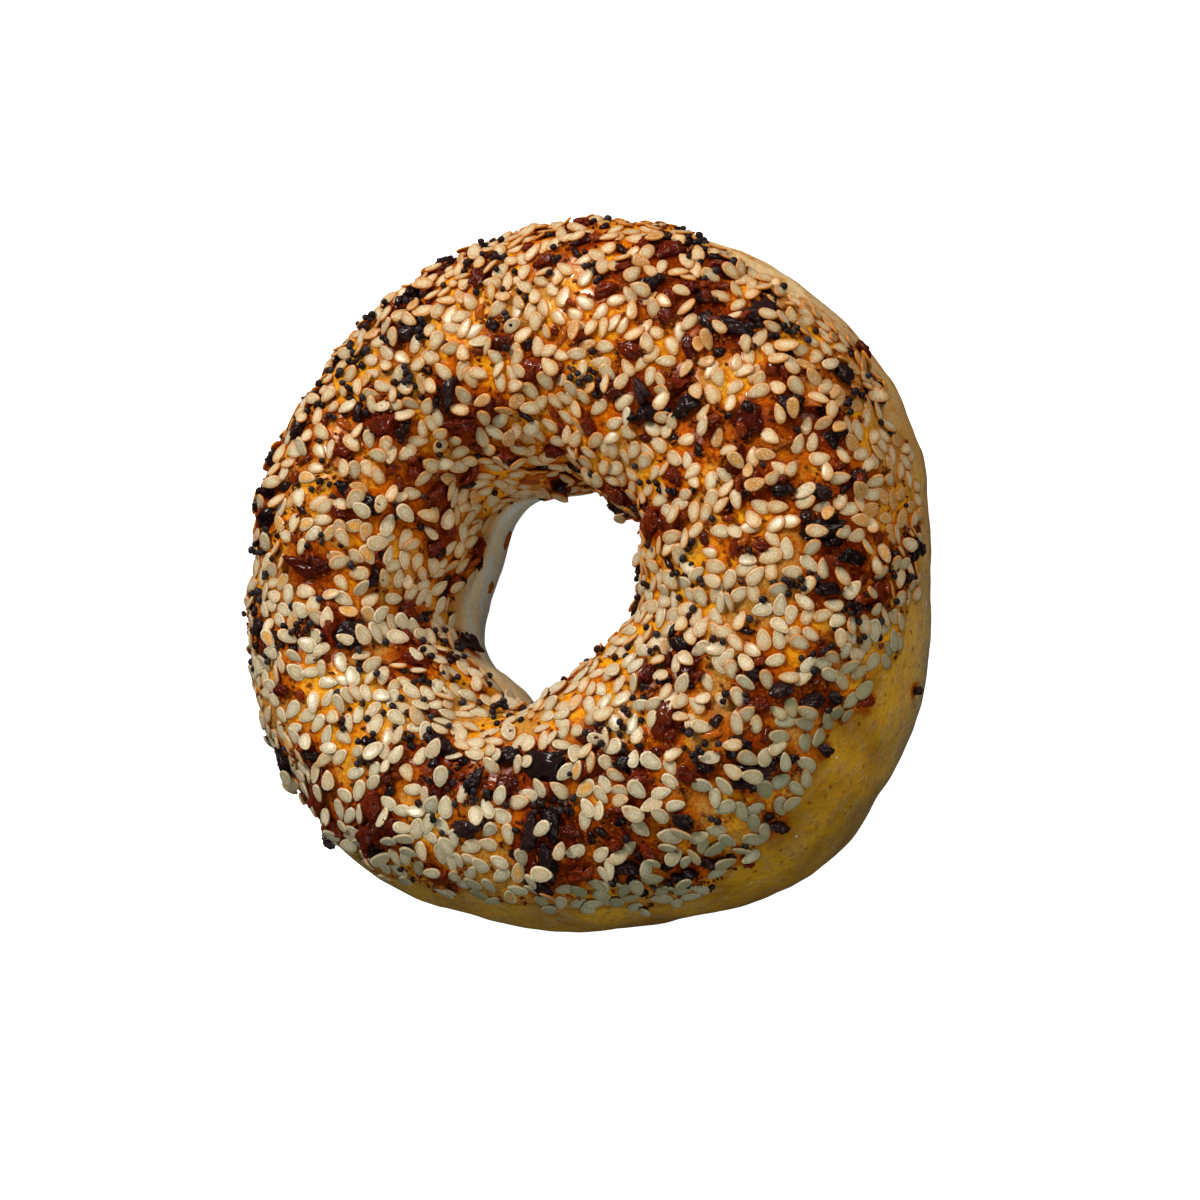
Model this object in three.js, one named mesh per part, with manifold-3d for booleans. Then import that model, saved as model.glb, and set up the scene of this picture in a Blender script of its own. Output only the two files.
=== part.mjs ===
// An everything bagel lying seeded side up: an uneven ring of bread with a flat foot, with the largest
// flakes of onion and garlic and a spread of sesame seeds fused to its crown.
// Millimetres, +Z up, the foot on z = 0 and the middle of the plan at the origin.

import * as THREE from 'three';
import { mergeVertices } from 'three/addons/utils/BufferGeometryUtils.js';
import Module from 'manifold-3d';

const wasm = await Module();
wasm.setup();

// ---- driving dimensions of the ring ----

const EQUATOR_HEIGHT = 19;
const CROWN_RISE = 20;
const SECTION_SQUARENESS = 2.4;
const OUTER_RADIUS = 50.8;
const HOLE_RADIUS = 15.5;
const CENTRE = { x: 0.8, y: -1.05 };

// Each wave adds size * cos(count * (angle - crest)) to the measure that it shapes, with angles in degrees
const OUTER_WAVES = [
  { count: 3, size: 0.8, crest: -40 },
  { count: 4, size: 0.95, crest: -42 },
  { count: 5, size: 0.45, crest: 25 },
];
const HOLE_WAVES = [
  { count: 1, size: 5.2, crest: -170 },
  { count: 2, size: 1.1, crest: 26 },
  { count: 3, size: 0.55, crest: 8 },
  { count: 4, size: 0.2, crest: 16 },
  { count: 5, size: 0.4, crest: -33 },
  { count: 6, size: 0.6, crest: 22 },
  { count: 7, size: 0.6, crest: -14 },
];
const CROWN_WAVES = [
  { count: 1, size: 0.6, crest: 200 },
  { count: 2, size: 0.4, crest: 60 },
  { count: 5, size: 0.25, crest: 10 },
];

const FACETS_AROUND = 66;
const FACETS_IN_SECTION = 24;

// The torus that is shaped into the ring, before it has its size, and the step that finds the crust's normal
const PLAIN_RADIUS = 2;
const PLAIN_TUBE = 1;
const NORMAL_STEP = 0.01;

// ---- toppings: full lengths, widths and thicknesses ----

const FLAKE = { count: 44, length: [4, 7.5], width: [2.2, 4], thickness: 1, spacing: 6.5 };
const SESAME = { count: 128, length: [2.8, 3.4], width: [1.9, 2.3], thickness: 1, spacing: 4.2 };
const TOPPING_FACETS = { round: 6, along: 3 };
const TOPPING_TIP = 0.35;
const TOPPING_RISE = 0.2;
const MOST_LEAN = 10;

// Section angles run from 0 at the outer equator over the crown at 90 to 180 in the hole
const SEEDED_FROM = [
  { count: 0, size: 20, crest: 0 },
  { count: 1, size: 12, crest: -70 },
  { count: 2, size: 8, crest: -60 },
];
const SEEDED_TO = 158;
const RANDOM_SEED = 7;
const MOST_TRIES = 20000;

// ---- small helpers ----

const radians = THREE.MathUtils.degToRad;

function seededRandom(seed) {
  let state = seed;
  return () => {
    state = (state * 1664525 + 1013904223) % 4294967296;
    return state / 4294967296;
  };
}

function between(random, [low, high]) {
  return low + (high - low) * random();
}

function waveHeight(wave, angle) {
  return wave.size * Math.cos(wave.count * (angle - radians(wave.crest)));
}

function waveSum(waves, angle) {
  return waves.reduce((sum, wave) => sum + waveHeight(wave, angle), 0);
}

function signedPower(value, power) {
  return Math.sign(value) * Math.abs(value) ** power;
}

// ---- the ring ----

function ringPoint(around, section) {
  const outer = OUTER_RADIUS + waveSum(OUTER_WAVES, around);
  const inner = HOLE_RADIUS + waveSum(HOLE_WAVES, around);
  const rise = CROWN_RISE + waveSum(CROWN_WAVES, around);
  const power = 2 / SECTION_SQUARENESS;
  const across = ((outer - inner) / 2) * signedPower(Math.cos(section), power);
  const radius = (outer + inner) / 2 + across;
  const height = EQUATOR_HEIGHT + rise * signedPower(Math.sin(section), power);
  return new THREE.Vector3(
    CENTRE.x + radius * Math.cos(around),
    CENTRE.y + radius * Math.sin(around),
    Math.max(0, height),
  );
}

function ringNormal(around, section) {
  const step = NORMAL_STEP;
  const along = ringPoint(around + step, section).sub(ringPoint(around - step, section));
  const over = ringPoint(around, section + step).sub(ringPoint(around, section - step));
  return along.cross(over).normalize();
}

function ringGeometry() {
  const geometry = new THREE.TorusGeometry(PLAIN_RADIUS, PLAIN_TUBE, FACETS_IN_SECTION, FACETS_AROUND);
  const position = geometry.getAttribute('position');
  const vertex = new THREE.Vector3();
  for (let i = 0; i < position.count; i += 1) {
    vertex.fromBufferAttribute(position, i);
    const around = Math.atan2(vertex.y, vertex.x);
    const section = Math.atan2(vertex.z, Math.hypot(vertex.x, vertex.y) - PLAIN_RADIUS);
    position.setXYZ(i, ...ringPoint(around, section));
  }
  return geometry;
}

// ---- the toppings ----

// A flat seed along x, blunt at one end and drawn to a tip at the other
function toppingGeometry(length, width, thickness) {
  const geometry = new THREE.SphereGeometry(1, TOPPING_FACETS.round, TOPPING_FACETS.along);
  geometry.rotateZ(Math.PI / 2);
  const position = geometry.getAttribute('position');
  for (let i = 0; i < position.count; i += 1) {
    const narrowing = 1 - TOPPING_TIP * Math.max(0, position.getX(i));
    position.setY(i, position.getY(i) * narrowing);
  }
  geometry.scale(length / 2, width / 2, thickness / 2);
  return geometry;
}

function toppingPlace(around, section, heading, lean) {
  const normal = ringNormal(around, section);
  const point = ringPoint(around, section).addScaledVector(normal, TOPPING_RISE);
  const sideways = new THREE.Vector3(0, 0, 1).cross(normal).normalize();
  const up = new THREE.Vector3().crossVectors(normal, sideways);
  const onCrust = new THREE.Matrix4().makeBasis(sideways, up, normal);
  const turned = new THREE.Matrix4().makeRotationZ(heading);
  const leant = new THREE.Matrix4().makeRotationY(lean);
  return onCrust.multiply(turned).multiply(leant).setPosition(point);
}

// Draws places on the seeded crown, evenly by area, that keep their spacing to all the places taken so far
function drawPlaces(kind, taken, random) {
  const places = [];
  for (let tries = 0; places.length < kind.count && tries < MOST_TRIES; tries += 1) {
    const around = 2 * Math.PI * random();
    const from = radians(waveSum(SEEDED_FROM, around));
    const section = from + (radians(SEEDED_TO) - from) * random();
    const point = ringPoint(around, section);
    const likely = Math.hypot(point.x, point.y) / OUTER_RADIUS;
    const clear = taken.every((other) => point.distanceTo(other.point) > (kind.spacing + other.spacing) / 2);
    if (random() < likely && clear) {
      const place = { around, section, point, spacing: kind.spacing };
      places.push(place);
      taken.push(place);
    }
  }
  return places;
}

function toppingGeometries(kind, taken, random) {
  return drawPlaces(kind, taken, random).map((place) => {
    const length = between(random, kind.length);
    const width = between(random, kind.width);
    const geometry = toppingGeometry(length, width, kind.thickness);
    const heading = 2 * Math.PI * random();
    const lean = radians(between(random, [-MOST_LEAN, MOST_LEAN]));
    return geometry.applyMatrix4(toppingPlace(place.around, place.section, heading, lean));
  });
}

// ---- joining ----

function solidOf(geometry) {
  geometry.deleteAttribute('normal');
  geometry.deleteAttribute('uv');
  const merged = mergeVertices(geometry);
  const vertProperties = Float32Array.from(merged.getAttribute('position').array);
  const triVerts = Uint32Array.from(merged.getIndex().array);
  return new wasm.Manifold(new wasm.Mesh({ numProp: 3, vertProperties, triVerts }));
}

function geometryOf(solid) {
  const mesh = solid.getMesh();
  const geometry = new THREE.BufferGeometry();
  geometry.setAttribute('position', new THREE.BufferAttribute(mesh.vertProperties, 3));
  geometry.setIndex(new THREE.BufferAttribute(mesh.triVerts, 1));
  geometry.computeVertexNormals();
  return geometry;
}

// The joined ring without the hollows that overlapping seeds seal
function bagelGeometry() {
  const random = seededRandom(RANDOM_SEED);
  const taken = [];
  const toppings = [FLAKE, SESAME].flatMap((kind) => toppingGeometries(kind, taken, random));
  const joined = toppings.reduce((solid, topping) => solid.add(solidOf(topping)), solidOf(ringGeometry()));
  const bodies = joined.decompose();
  bodies.sort((one, other) => other.volume() - one.volume());
  return geometryOf(bodies[0]);
}

const crust = new THREE.MeshStandardMaterial({ color: 0xb8752c, roughness: 0.5, metalness: 0 });
const bagel = new THREE.Mesh(bagelGeometry(), crust);
bagel.name = 'bagel';

const part = new THREE.Group();
part.add(bagel);

export default part;
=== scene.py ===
import math

import bmesh
import bpy
import numpy as np
from bpy.props import FloatProperty, FloatVectorProperty, IntProperty, PointerProperty
from mathutils import Matrix, Vector


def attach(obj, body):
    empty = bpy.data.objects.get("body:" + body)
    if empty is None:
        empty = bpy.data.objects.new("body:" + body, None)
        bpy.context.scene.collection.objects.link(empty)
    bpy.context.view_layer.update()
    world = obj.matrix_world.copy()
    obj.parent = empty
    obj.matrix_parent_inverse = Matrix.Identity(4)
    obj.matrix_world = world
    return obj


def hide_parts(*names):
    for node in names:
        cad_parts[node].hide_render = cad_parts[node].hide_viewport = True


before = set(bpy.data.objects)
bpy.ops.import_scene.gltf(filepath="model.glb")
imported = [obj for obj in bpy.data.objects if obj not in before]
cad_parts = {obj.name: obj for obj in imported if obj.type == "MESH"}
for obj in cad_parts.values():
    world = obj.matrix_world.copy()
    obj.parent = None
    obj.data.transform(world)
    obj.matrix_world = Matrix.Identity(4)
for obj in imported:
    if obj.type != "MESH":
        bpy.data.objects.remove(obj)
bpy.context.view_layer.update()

bl_info = {
    "name": "Everything Bagel",
    "version": (1, 0, 0),
    "blender": (4, 5, 0),
    "location": "3D View > Sidebar > Bagel",
    "description": "Builds a seeded bagel from its crust, seeds and flakes",
    "category": "Add Mesh",
}

MM = 0.001
FULL_TURN = 2 * math.pi
BODY = "root"
NODE = "bagel"


def srgb(red, green, blue):
    """A colour written in 0 to 255 screen values, as the linear values that shaders take."""
    screen = [channel / 255 for channel in (red, green, blue)]
    return tuple(c / 12.92 if c <= 0.04045 else ((c + 0.055) / 1.055) ** 2.4 for c in screen)


# ---- driving shapes of the ring, the same as the solid's ----

# Each wave is how often it goes round, how high it is and where it crests, in degrees
OUTER_WAVES = ((3, 0.8 * MM, -40), (4, 0.95 * MM, -42), (5, 0.45 * MM, 25))
HOLE_WAVES = (
    (1, 5.2 * MM, -170), (2, 1.1 * MM, 26), (3, 0.55 * MM, 8), (4, 0.2 * MM, 16),
    (5, 0.4 * MM, -33), (6, 0.6 * MM, 22), (7, 0.6 * MM, -14),
)
CROWN_WAVES = ((1, 0.6 * MM, 200), (2, 0.4 * MM, 60), (5, 0.25 * MM, 10))
RING_CENTRE = (0.8 * MM, -1.05 * MM)
SECTION_SQUARENESS = 2.4

# About half the bagel's width, which the shares that change across it are measured by
HALF_WIDTH = 50 * MM

# Lumps of the dough: wavelength, height and the seed of their pattern
LUMPS = ((26 * MM, 0.35 * MM, 11), (9 * MM, 0.14 * MM, 12), (3.4 * MM, 0.045 * MM, 13))
NOISE_WAVES = 14

# The crust's mesh: steps round the ring and round its section, and the torus that is shaped into the ring
STEPS_ROUND = 400
STEPS_IN_SECTION = 200
PLAIN_RADIUS = 2.0

# Patterns that change from place to place: how wide their patches are and the seed of each
EDGE_PATTERN = (9 * MM, 21)
POPPY_PATTERN = (8 * MM, 31)
FLAKE_PATTERN = (16 * MM, 41)
STREAK_PATTERN = (3.2 * MM, 51)
GLAZE_PATTERN = (13 * MM, 61)
SESAME_PATTERN = (8 * MM, 71)

# Seeds of the random draws
TOPPINGS_DRAW = 5
SESAME_DRAW = 6
POPPY_DRAW = 8
FLAKE_DRAW = 9

# Where the seeds end round the outside and in the hole: plan angle, then section angle, which is 0 at the
# outer equator, 90 on the crown and 180 in the hole, all in degrees
SEEDED_FROM = (
    (0, -2), (28, 5), (40, 18), (50, 31), (64, 27), (80, 13), (110, 2), (150, 2), (180, 10), (205, 28),
    (230, 37), (262, 38), (278, 27), (294, 21), (306, 28), (320, 38), (333, 30), (346, 8),
)
SEEDED_TO = (
    (0, 176), (60, 188), (100, 194), (122, 189), (140, 179), (190, 178), (215, 171), (240, 171), (300, 170),
)
# How far, in degrees, the edge of the seeds wanders and how softly it ends
EDGE_WANDER = 3.5
EDGE_SOFTNESS = 4

# ---- the stage ----

FLOOR_REACH = 3
FLOOR_DROP = 0.02 * MM
FLOOR_GLOW = (0.97, 0.99, 1.0)
WORLD_COLOUR = (1.0, 0.98, 0.95, 1)
WORLD_STRENGTH = 0.05
# Round lamps: name, place, width, power in watts and colour
LAMPS = (
    ("key", (-0.31, 0.38, 0.68), 0.2, 4.7, (1.0, 0.965, 0.9)),
    ("fill", (0.45, -0.5, 0.45), 0.6, 2.05, (0.88, 1.0, 0.94)),
    ("back", (0.42, 0.55, 0.42), 0.5, 2.9, (1.0, 0.93, 0.83)),
    ("window", (-0.43, 0.64, 0.38), 0.3, 1.6, (1.0, 0.97, 0.94)),
)

# ---- sizes of the toppings and how they lie ----

# A sesame seed: its thickness, its width as a share of its length, how many millimetres it is sunk into what
# it lies on, and how high it may rest
SESAME_THICKNESS = 0.48 * MM
SESAME_WIDTH = (0.56, 0.7)
SESAME_SUNK = (0.1, 0.22)
SESAME_MOST_REST = 1.7 * MM
# How much of a seed may lie over other seeds: always, and for half of the seeds
FREE_OVERLAP = 0.1
MOST_OVERLAP = 0.4
# How much of a seed may lie over a flake, and how many of the seeds that lie over more are kept
FREE_ON_FLAKE = 0.15
KEPT_ON_FLAKE = 0.12

# How much darker seeds are, as a mean and a deviation, and at most
SESAME_SHADE = (0.12, 0.16)
SESAME_MOST_SHADE = 0.7
# Seeds with a brown spot: how many, how deep the spot is, and where along the seed and how wide it is
SPOTTED_SHARE = 0.04
SPOT_DEPTH = (0.4, 0.9)
SPOT_AT = 0.45
SPOT_SPREAD = 0.08

# A poppy seed, in the same terms, how far it may lean, and how many of those that land on other toppings stay
POPPY_SUNK = 0.1 * MM
POPPY_LEAN = 0.4
# How long and how thick a poppy seed is, as shares of its width and its half width
POPPY_LENGTH = 1.1
POPPY_THICKNESS = 1.8
POPPY_MOST_REST = 1.6 * MM
POPPIES_KEPT_ON_SESAME = 0.03
POPPIES_KEPT_ON_FLAKE = 0.1

# How many places are tried for each topping that is wanted
SESAME_TRIES = 14
POPPY_TRIES = 6
SCATTERED_TRIES = 5

# A topping leans as its two ends lie on what is under them: the share of its half length that an end starts
# from, the span between the ends, and how high a part of the surface carries an end and the whole topping
END_FROM = 0.25
END_SPAN = 1.1
END_CARRIER = 0.8
CARRIER = 0.82

# The flakes at the marks: how thick each kind is, how deep they are sunk and how far they may lean
BLACK_THICKNESS = 1.7 * MM
BROWN_THICKNESS = 1.5 * MM
AMBER_THICKNESS = 0.7 * MM
FLAKE_SUNK = 0.25 * MM
MOST_LEAN = 0.5
# From this half length up a chip counts as a flake, which small chips and most seeds keep off
LARGE_CHIP = 1 * MM
# Scattered kinds: lengths, widths, thickness, how deep they are sunk and how high they may rest
HIDDEN_FLAKES = ((2.4 * MM, 4.4 * MM), (1.8 * MM, 3 * MM), 1.0 * MM, 0.3 * MM, 0.6 * MM)
HIDDEN_FLAKE_COUNT = 22
SMALL_FLAKES = ((1.4 * MM, 3.0 * MM), (1.0 * MM, 2.0 * MM), 0.9 * MM, 0.2 * MM, 1.2 * MM)
CRUMBS = ((0.5 * MM, 1.3 * MM), (0.4 * MM, 0.8 * MM), 0.45 * MM, 0.05 * MM, 0.7 * MM)

# Oil in the crust round large and small flakes and in soaked patches: strength, and how far it spreads
LARGE_STAIN = (1.2, 0.9 * MM)
SMALL_STAIN = (0.6, 0.5 * MM)
SOAKED_STAIN = 0.9

# Glaze pooled round a seed that rests low: how far it reaches, how high it climbs, how far its edge dips
# under the crust, and how much darker and deeper baked it is than the crust, partly as painted contact shade
# next to the seed
POOLED_REST = 0.3 * MM
POOL_REACH = 0.5 * MM
POOL_RISE = 0.08 * MM
POOL_SINK = 0.05 * MM
POOL_STAIN_AND_SHADE = 0.36
POOL_GLAZE = 0.15

# ---- the camera, which looks down on the crown from the side where +X and -Y meet ----

FRAME_PIXELS = 1200
PIXEL_SIZE = 0.1413 * MM
CAMERA_TILT = math.radians(28)
CAMERA_TURN = math.radians(-20)
CAMERA_DISTANCE = 550 * MM
AIM_HEIGHT = 20 * MM
AIM_PIXEL = (588.8, 580.7)


class BagelSizes(bpy.types.PropertyGroup):
    """Sizes of the bread ring and its toppings."""

    equator_height: FloatProperty(
        name="Equator Height", description="Height of the widest line above the foot",
        default=19 * MM, unit="LENGTH",
    )
    crown_rise: FloatProperty(
        name="Crown Rise", description="Height of the crown above the widest line",
        default=20 * MM, unit="LENGTH",
    )
    outer_radius: FloatProperty(
        name="Outer Radius", description="Mean radius at the widest line", default=50.8 * MM, unit="LENGTH"
    )
    hole_radius: FloatProperty(
        name="Hole Radius", description="Mean radius of the hole", default=15.5 * MM, unit="LENGTH"
    )
    sesame_length: FloatProperty(
        name="Sesame Length", description="Mean length of a sesame seed", default=3.1 * MM, unit="LENGTH"
    )
    sesame_count: IntProperty(name="Sesame Seeds", description="How many sesame seeds", default=1640)
    poppy_width: FloatProperty(
        name="Poppy Width", description="Mean width of a poppy seed", default=0.96 * MM, unit="LENGTH"
    )
    poppy_count: IntProperty(name="Poppy Seeds", description="How many poppy seeds", default=620)
    flake_count: IntProperty(name="Flakes", description="How many small onion flakes", default=300)
    crumb_count: IntProperty(name="Crumbs", description="How many crumbs of flake", default=1000)


class BagelColours(bpy.types.PropertyGroup):
    """Base colours of the finishes."""

    dough: FloatVectorProperty(
        name="Pale Crust", description="Crust of the unseeded sides",
        default=srgb(240, 178, 46), subtype="COLOR",
    )
    tan: FloatVectorProperty(
        name="Tan Crust", description="Least baked crust of the crown",
        default=srgb(198, 140, 62), subtype="COLOR",
    )
    golden: FloatVectorProperty(
        name="Golden Crust", description="Crust of the crown", default=srgb(252, 171, 30), subtype="COLOR"
    )
    orange: FloatVectorProperty(
        name="Orange Crust", description="Crust stained by the flakes",
        default=srgb(208, 98, 4), subtype="COLOR",
    )
    umber: FloatVectorProperty(
        name="Dark Crust", description="Crust close under the flakes",
        default=srgb(134, 42, 3), subtype="COLOR",
    )
    sesame: FloatVectorProperty(
        name="Sesame", description="Pale sesame seeds", default=srgb(217, 207, 180), subtype="COLOR"
    )
    toasted: FloatVectorProperty(
        name="Toasted Sesame", description="Golden sesame seeds", default=srgb(236, 166, 56), subtype="COLOR"
    )
    poppy: FloatVectorProperty(
        name="Poppy", description="Poppy seeds", default=srgb(30, 19, 20), subtype="COLOR"
    )
    black_flake: FloatVectorProperty(
        name="Black Flake", description="Darkest onion flakes", default=srgb(26, 8, 8), subtype="COLOR"
    )
    brown_flake: FloatVectorProperty(
        name="Brown Flake", description="Red-brown onion flakes", default=srgb(150, 48, 6), subtype="COLOR"
    )
    inner: FloatVectorProperty(
        name="Inner Wall", description="Barely baked crust in the hole",
        default=srgb(254, 242, 206), subtype="COLOR",
    )
    amber: FloatVectorProperty(
        name="Amber Bits", description="Clear bits of garlic and onion",
        default=srgb(226, 118, 16), subtype="COLOR",
    )


# ---- formulas of the crust ----

def wave_sum(waves, angle):
    """The sum of the waves at an angle in radians."""
    return sum(size * np.cos(count * (angle - math.radians(crest))) for count, size, crest in waves)


def round_trip(marks, angle):
    """The value at an angle in radians between marks (degrees round, value) that close on themselves."""
    degrees, values = zip(*marks)
    return np.interp(np.degrees(angle), degrees, values, period=360)


def signed_power(value, power):
    """The size of a value raised to a power, with the value's sign."""
    return np.sign(value) * np.abs(value) ** power


def unit(vectors):
    """The vectors at length 1."""
    return vectors / np.maximum(np.linalg.norm(vectors, axis=-1, keepdims=True), 1e-12)


def soft_noise(points, wavelength, seed):
    """Smooth seeded noise, about -1 to 1, whose lumps are about a wavelength across."""
    random = np.random.default_rng(seed)
    directions = unit(random.normal(size=(NOISE_WAVES, 3)))
    phases = random.uniform(0, FULL_TURN, NOISE_WAVES)
    waves = np.sin(points @ directions.T * (FULL_TURN / wavelength) + phases)
    return waves.sum(axis=-1) / math.sqrt(NOISE_WAVES)


def smooth_step(low, high, value):
    """0 at low and 1 at high, with a soft rise between them."""
    t = np.clip((value - low) / (high - low), 0, 1)
    return t * t * (3 - 2 * t)


def plain_ring(sizes, around, section, grown=0.0):
    """Points of the ring before its lumps, with the section grown outwards by a length."""
    outer = sizes.outer_radius + wave_sum(OUTER_WAVES, around)
    inner = sizes.hole_radius + wave_sum(HOLE_WAVES, around)
    rise = sizes.crown_rise + wave_sum(CROWN_WAVES, around)
    power = 2 / SECTION_SQUARENESS
    across = ((outer - inner) / 2 + grown) * signed_power(np.cos(section), power)
    radius = (outer + inner) / 2 + across
    height = sizes.equator_height + (rise + grown) * signed_power(np.sin(section), power)
    x = RING_CENTRE[0] + radius * np.cos(around)
    y = RING_CENTRE[1] + radius * np.sin(around)
    return np.stack([x, y, height], axis=-1)


def crust_points(sizes, around, section):
    """Points of the lumpy crust, flat where it lies on its foot."""
    plain = plain_ring(sizes, around, section)
    lumps = sum(height * soft_noise(plain, wavelength, seed) for wavelength, height, seed in LUMPS)
    points = plain_ring(sizes, around, section, lumps)
    points[..., 2] = np.maximum(points[..., 2], 0)
    return points


def seeded_share(around, section_degrees, points):
    """1 on the seeded crown and 0 on the bare sides, with an uneven edge."""
    wander = EDGE_WANDER * soft_noise(points, *EDGE_PATTERN)
    start = round_trip(SEEDED_FROM, around) + wander
    end = round_trip(SEEDED_TO, around) + wander
    rising = smooth_step(start - EDGE_SOFTNESS, start + EDGE_SOFTNESS, section_degrees)
    falling = smooth_step(end - EDGE_SOFTNESS, end + EDGE_SOFTNESS, section_degrees)
    return rising * (1 - falling)


def glaze_and_light_share(points):
    """How deeply the crown is baked, from 0 to 1, with painted light and shade over it: most at the back
    left, where the light falls, and least at the front right, in the shade.
    """
    # painted light and shade: the share rises toward the lamps at the back left
    back = (0.9 * points[..., 1] - 0.4 * points[..., 0]) / HALF_WIDTH
    return np.clip(0.42 + 0.22 * back + 0.34 * soft_noise(points, *GLAZE_PATTERN), 0, 1)


def near_direction(around, degrees_round, spread_degrees):
    """1 in a plan direction, fading out over a spread to its sides."""
    off = np.angle(np.exp(1j * (around - math.radians(degrees_round))))
    return np.exp(-((off / math.radians(spread_degrees)) ** 2))


def pale_and_lit_share(around, section_degrees):
    """How much warm pale colour the bare crust has, from 0 to 1: pale dough with painted light over it at the
    back on the right, and painted light low in the hole at the front left.
    """
    outside = near_direction(around, 52, 26) * smooth_step(-25, 5, section_degrees)
    inside = near_direction(around, -124, 24) * smooth_step(158, 170, section_degrees)
    return outside * (section_degrees < 120) + inside * (1 - smooth_step(205, 225, section_degrees))


def painted_reflection_share(around, section_degrees):
    """Painted cool reflection low on the right and the left front side and under the rim of the hole, from 0
    to 1.
    """
    outside = near_direction(around, -14, 30) + near_direction(around, -134, 14)
    outside = outside * (1 - smooth_step(-24, 10, section_degrees))
    inside = smooth_step(178, 194, section_degrees) * (1 - smooth_step(230, 250, section_degrees))
    inside = inside * (1 - near_direction(around, -124, 24))
    return np.maximum(0.62 * outside, 0.85 * inside)


def toast_and_shade_share(around, section_degrees):
    """How much the crust is browned by the tray all round the foot, with painted shade higher at the front
    and in a skirt below the seeds on the front right, from 0 to 1.
    """
    # painted shade, higher at the front
    front = near_direction(around, -78, 42) * (1 - smooth_step(-14, 24, section_degrees))
    foot = 1 - smooth_step(-62, -24, section_degrees)
    start = round_trip(SEEDED_FROM, around)
    # painted shade in a skirt below the seeds on the front right
    painted_skirt_shade = 0.4 * near_direction(around, -46, 26) * smooth_step(start - 30, start - 8, section_degrees)
    return 0.85 * np.maximum(np.maximum(front, foot), painted_skirt_shade)


def far_share(around):
    """1 on the sides away from the camera, where the bare crust is tanner."""
    return 1 - near_direction(around, -50, 75)


# ---- the camera's frame ----

def camera_axes():
    """Right, up and backward axes of the camera."""
    backward = Vector((
        math.sin(CAMERA_TILT) * math.cos(CAMERA_TURN),
        math.sin(CAMERA_TILT) * math.sin(CAMERA_TURN),
        math.cos(CAMERA_TILT),
    ))
    hinge = Vector((0, 0, 1)).cross(backward).normalized()
    tilt = Matrix.Rotation(CAMERA_TILT, 3, hinge)
    return tilt @ Vector((1, 0, 0)), tilt @ Vector((0, 1, 0)), backward


def camera_aim():
    """The point that AIM_PIXEL shows."""
    return Vector((RING_CENTRE[0], RING_CENTRE[1], AIM_HEIGHT))


def frame_pixels(points):
    """Where points fall in the 1200 pixel frame, as columns and rows counted down."""
    right, up, backward = (np.array(axis) for axis in camera_axes())
    offset = points - np.array(camera_aim())
    scale = CAMERA_DISTANCE / (CAMERA_DISTANCE - offset @ backward) / PIXEL_SIZE
    columns = AIM_PIXEL[0] + (offset @ right) * scale
    rows = AIM_PIXEL[1] - (offset @ up) * scale
    return columns, rows


# ---- landmarks of the crown, each at a pixel of the camera's frame ----

# The marks are read along their broken edges, so the balls that they are broken from are larger
MARK_GROWTH = 1.16
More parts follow.
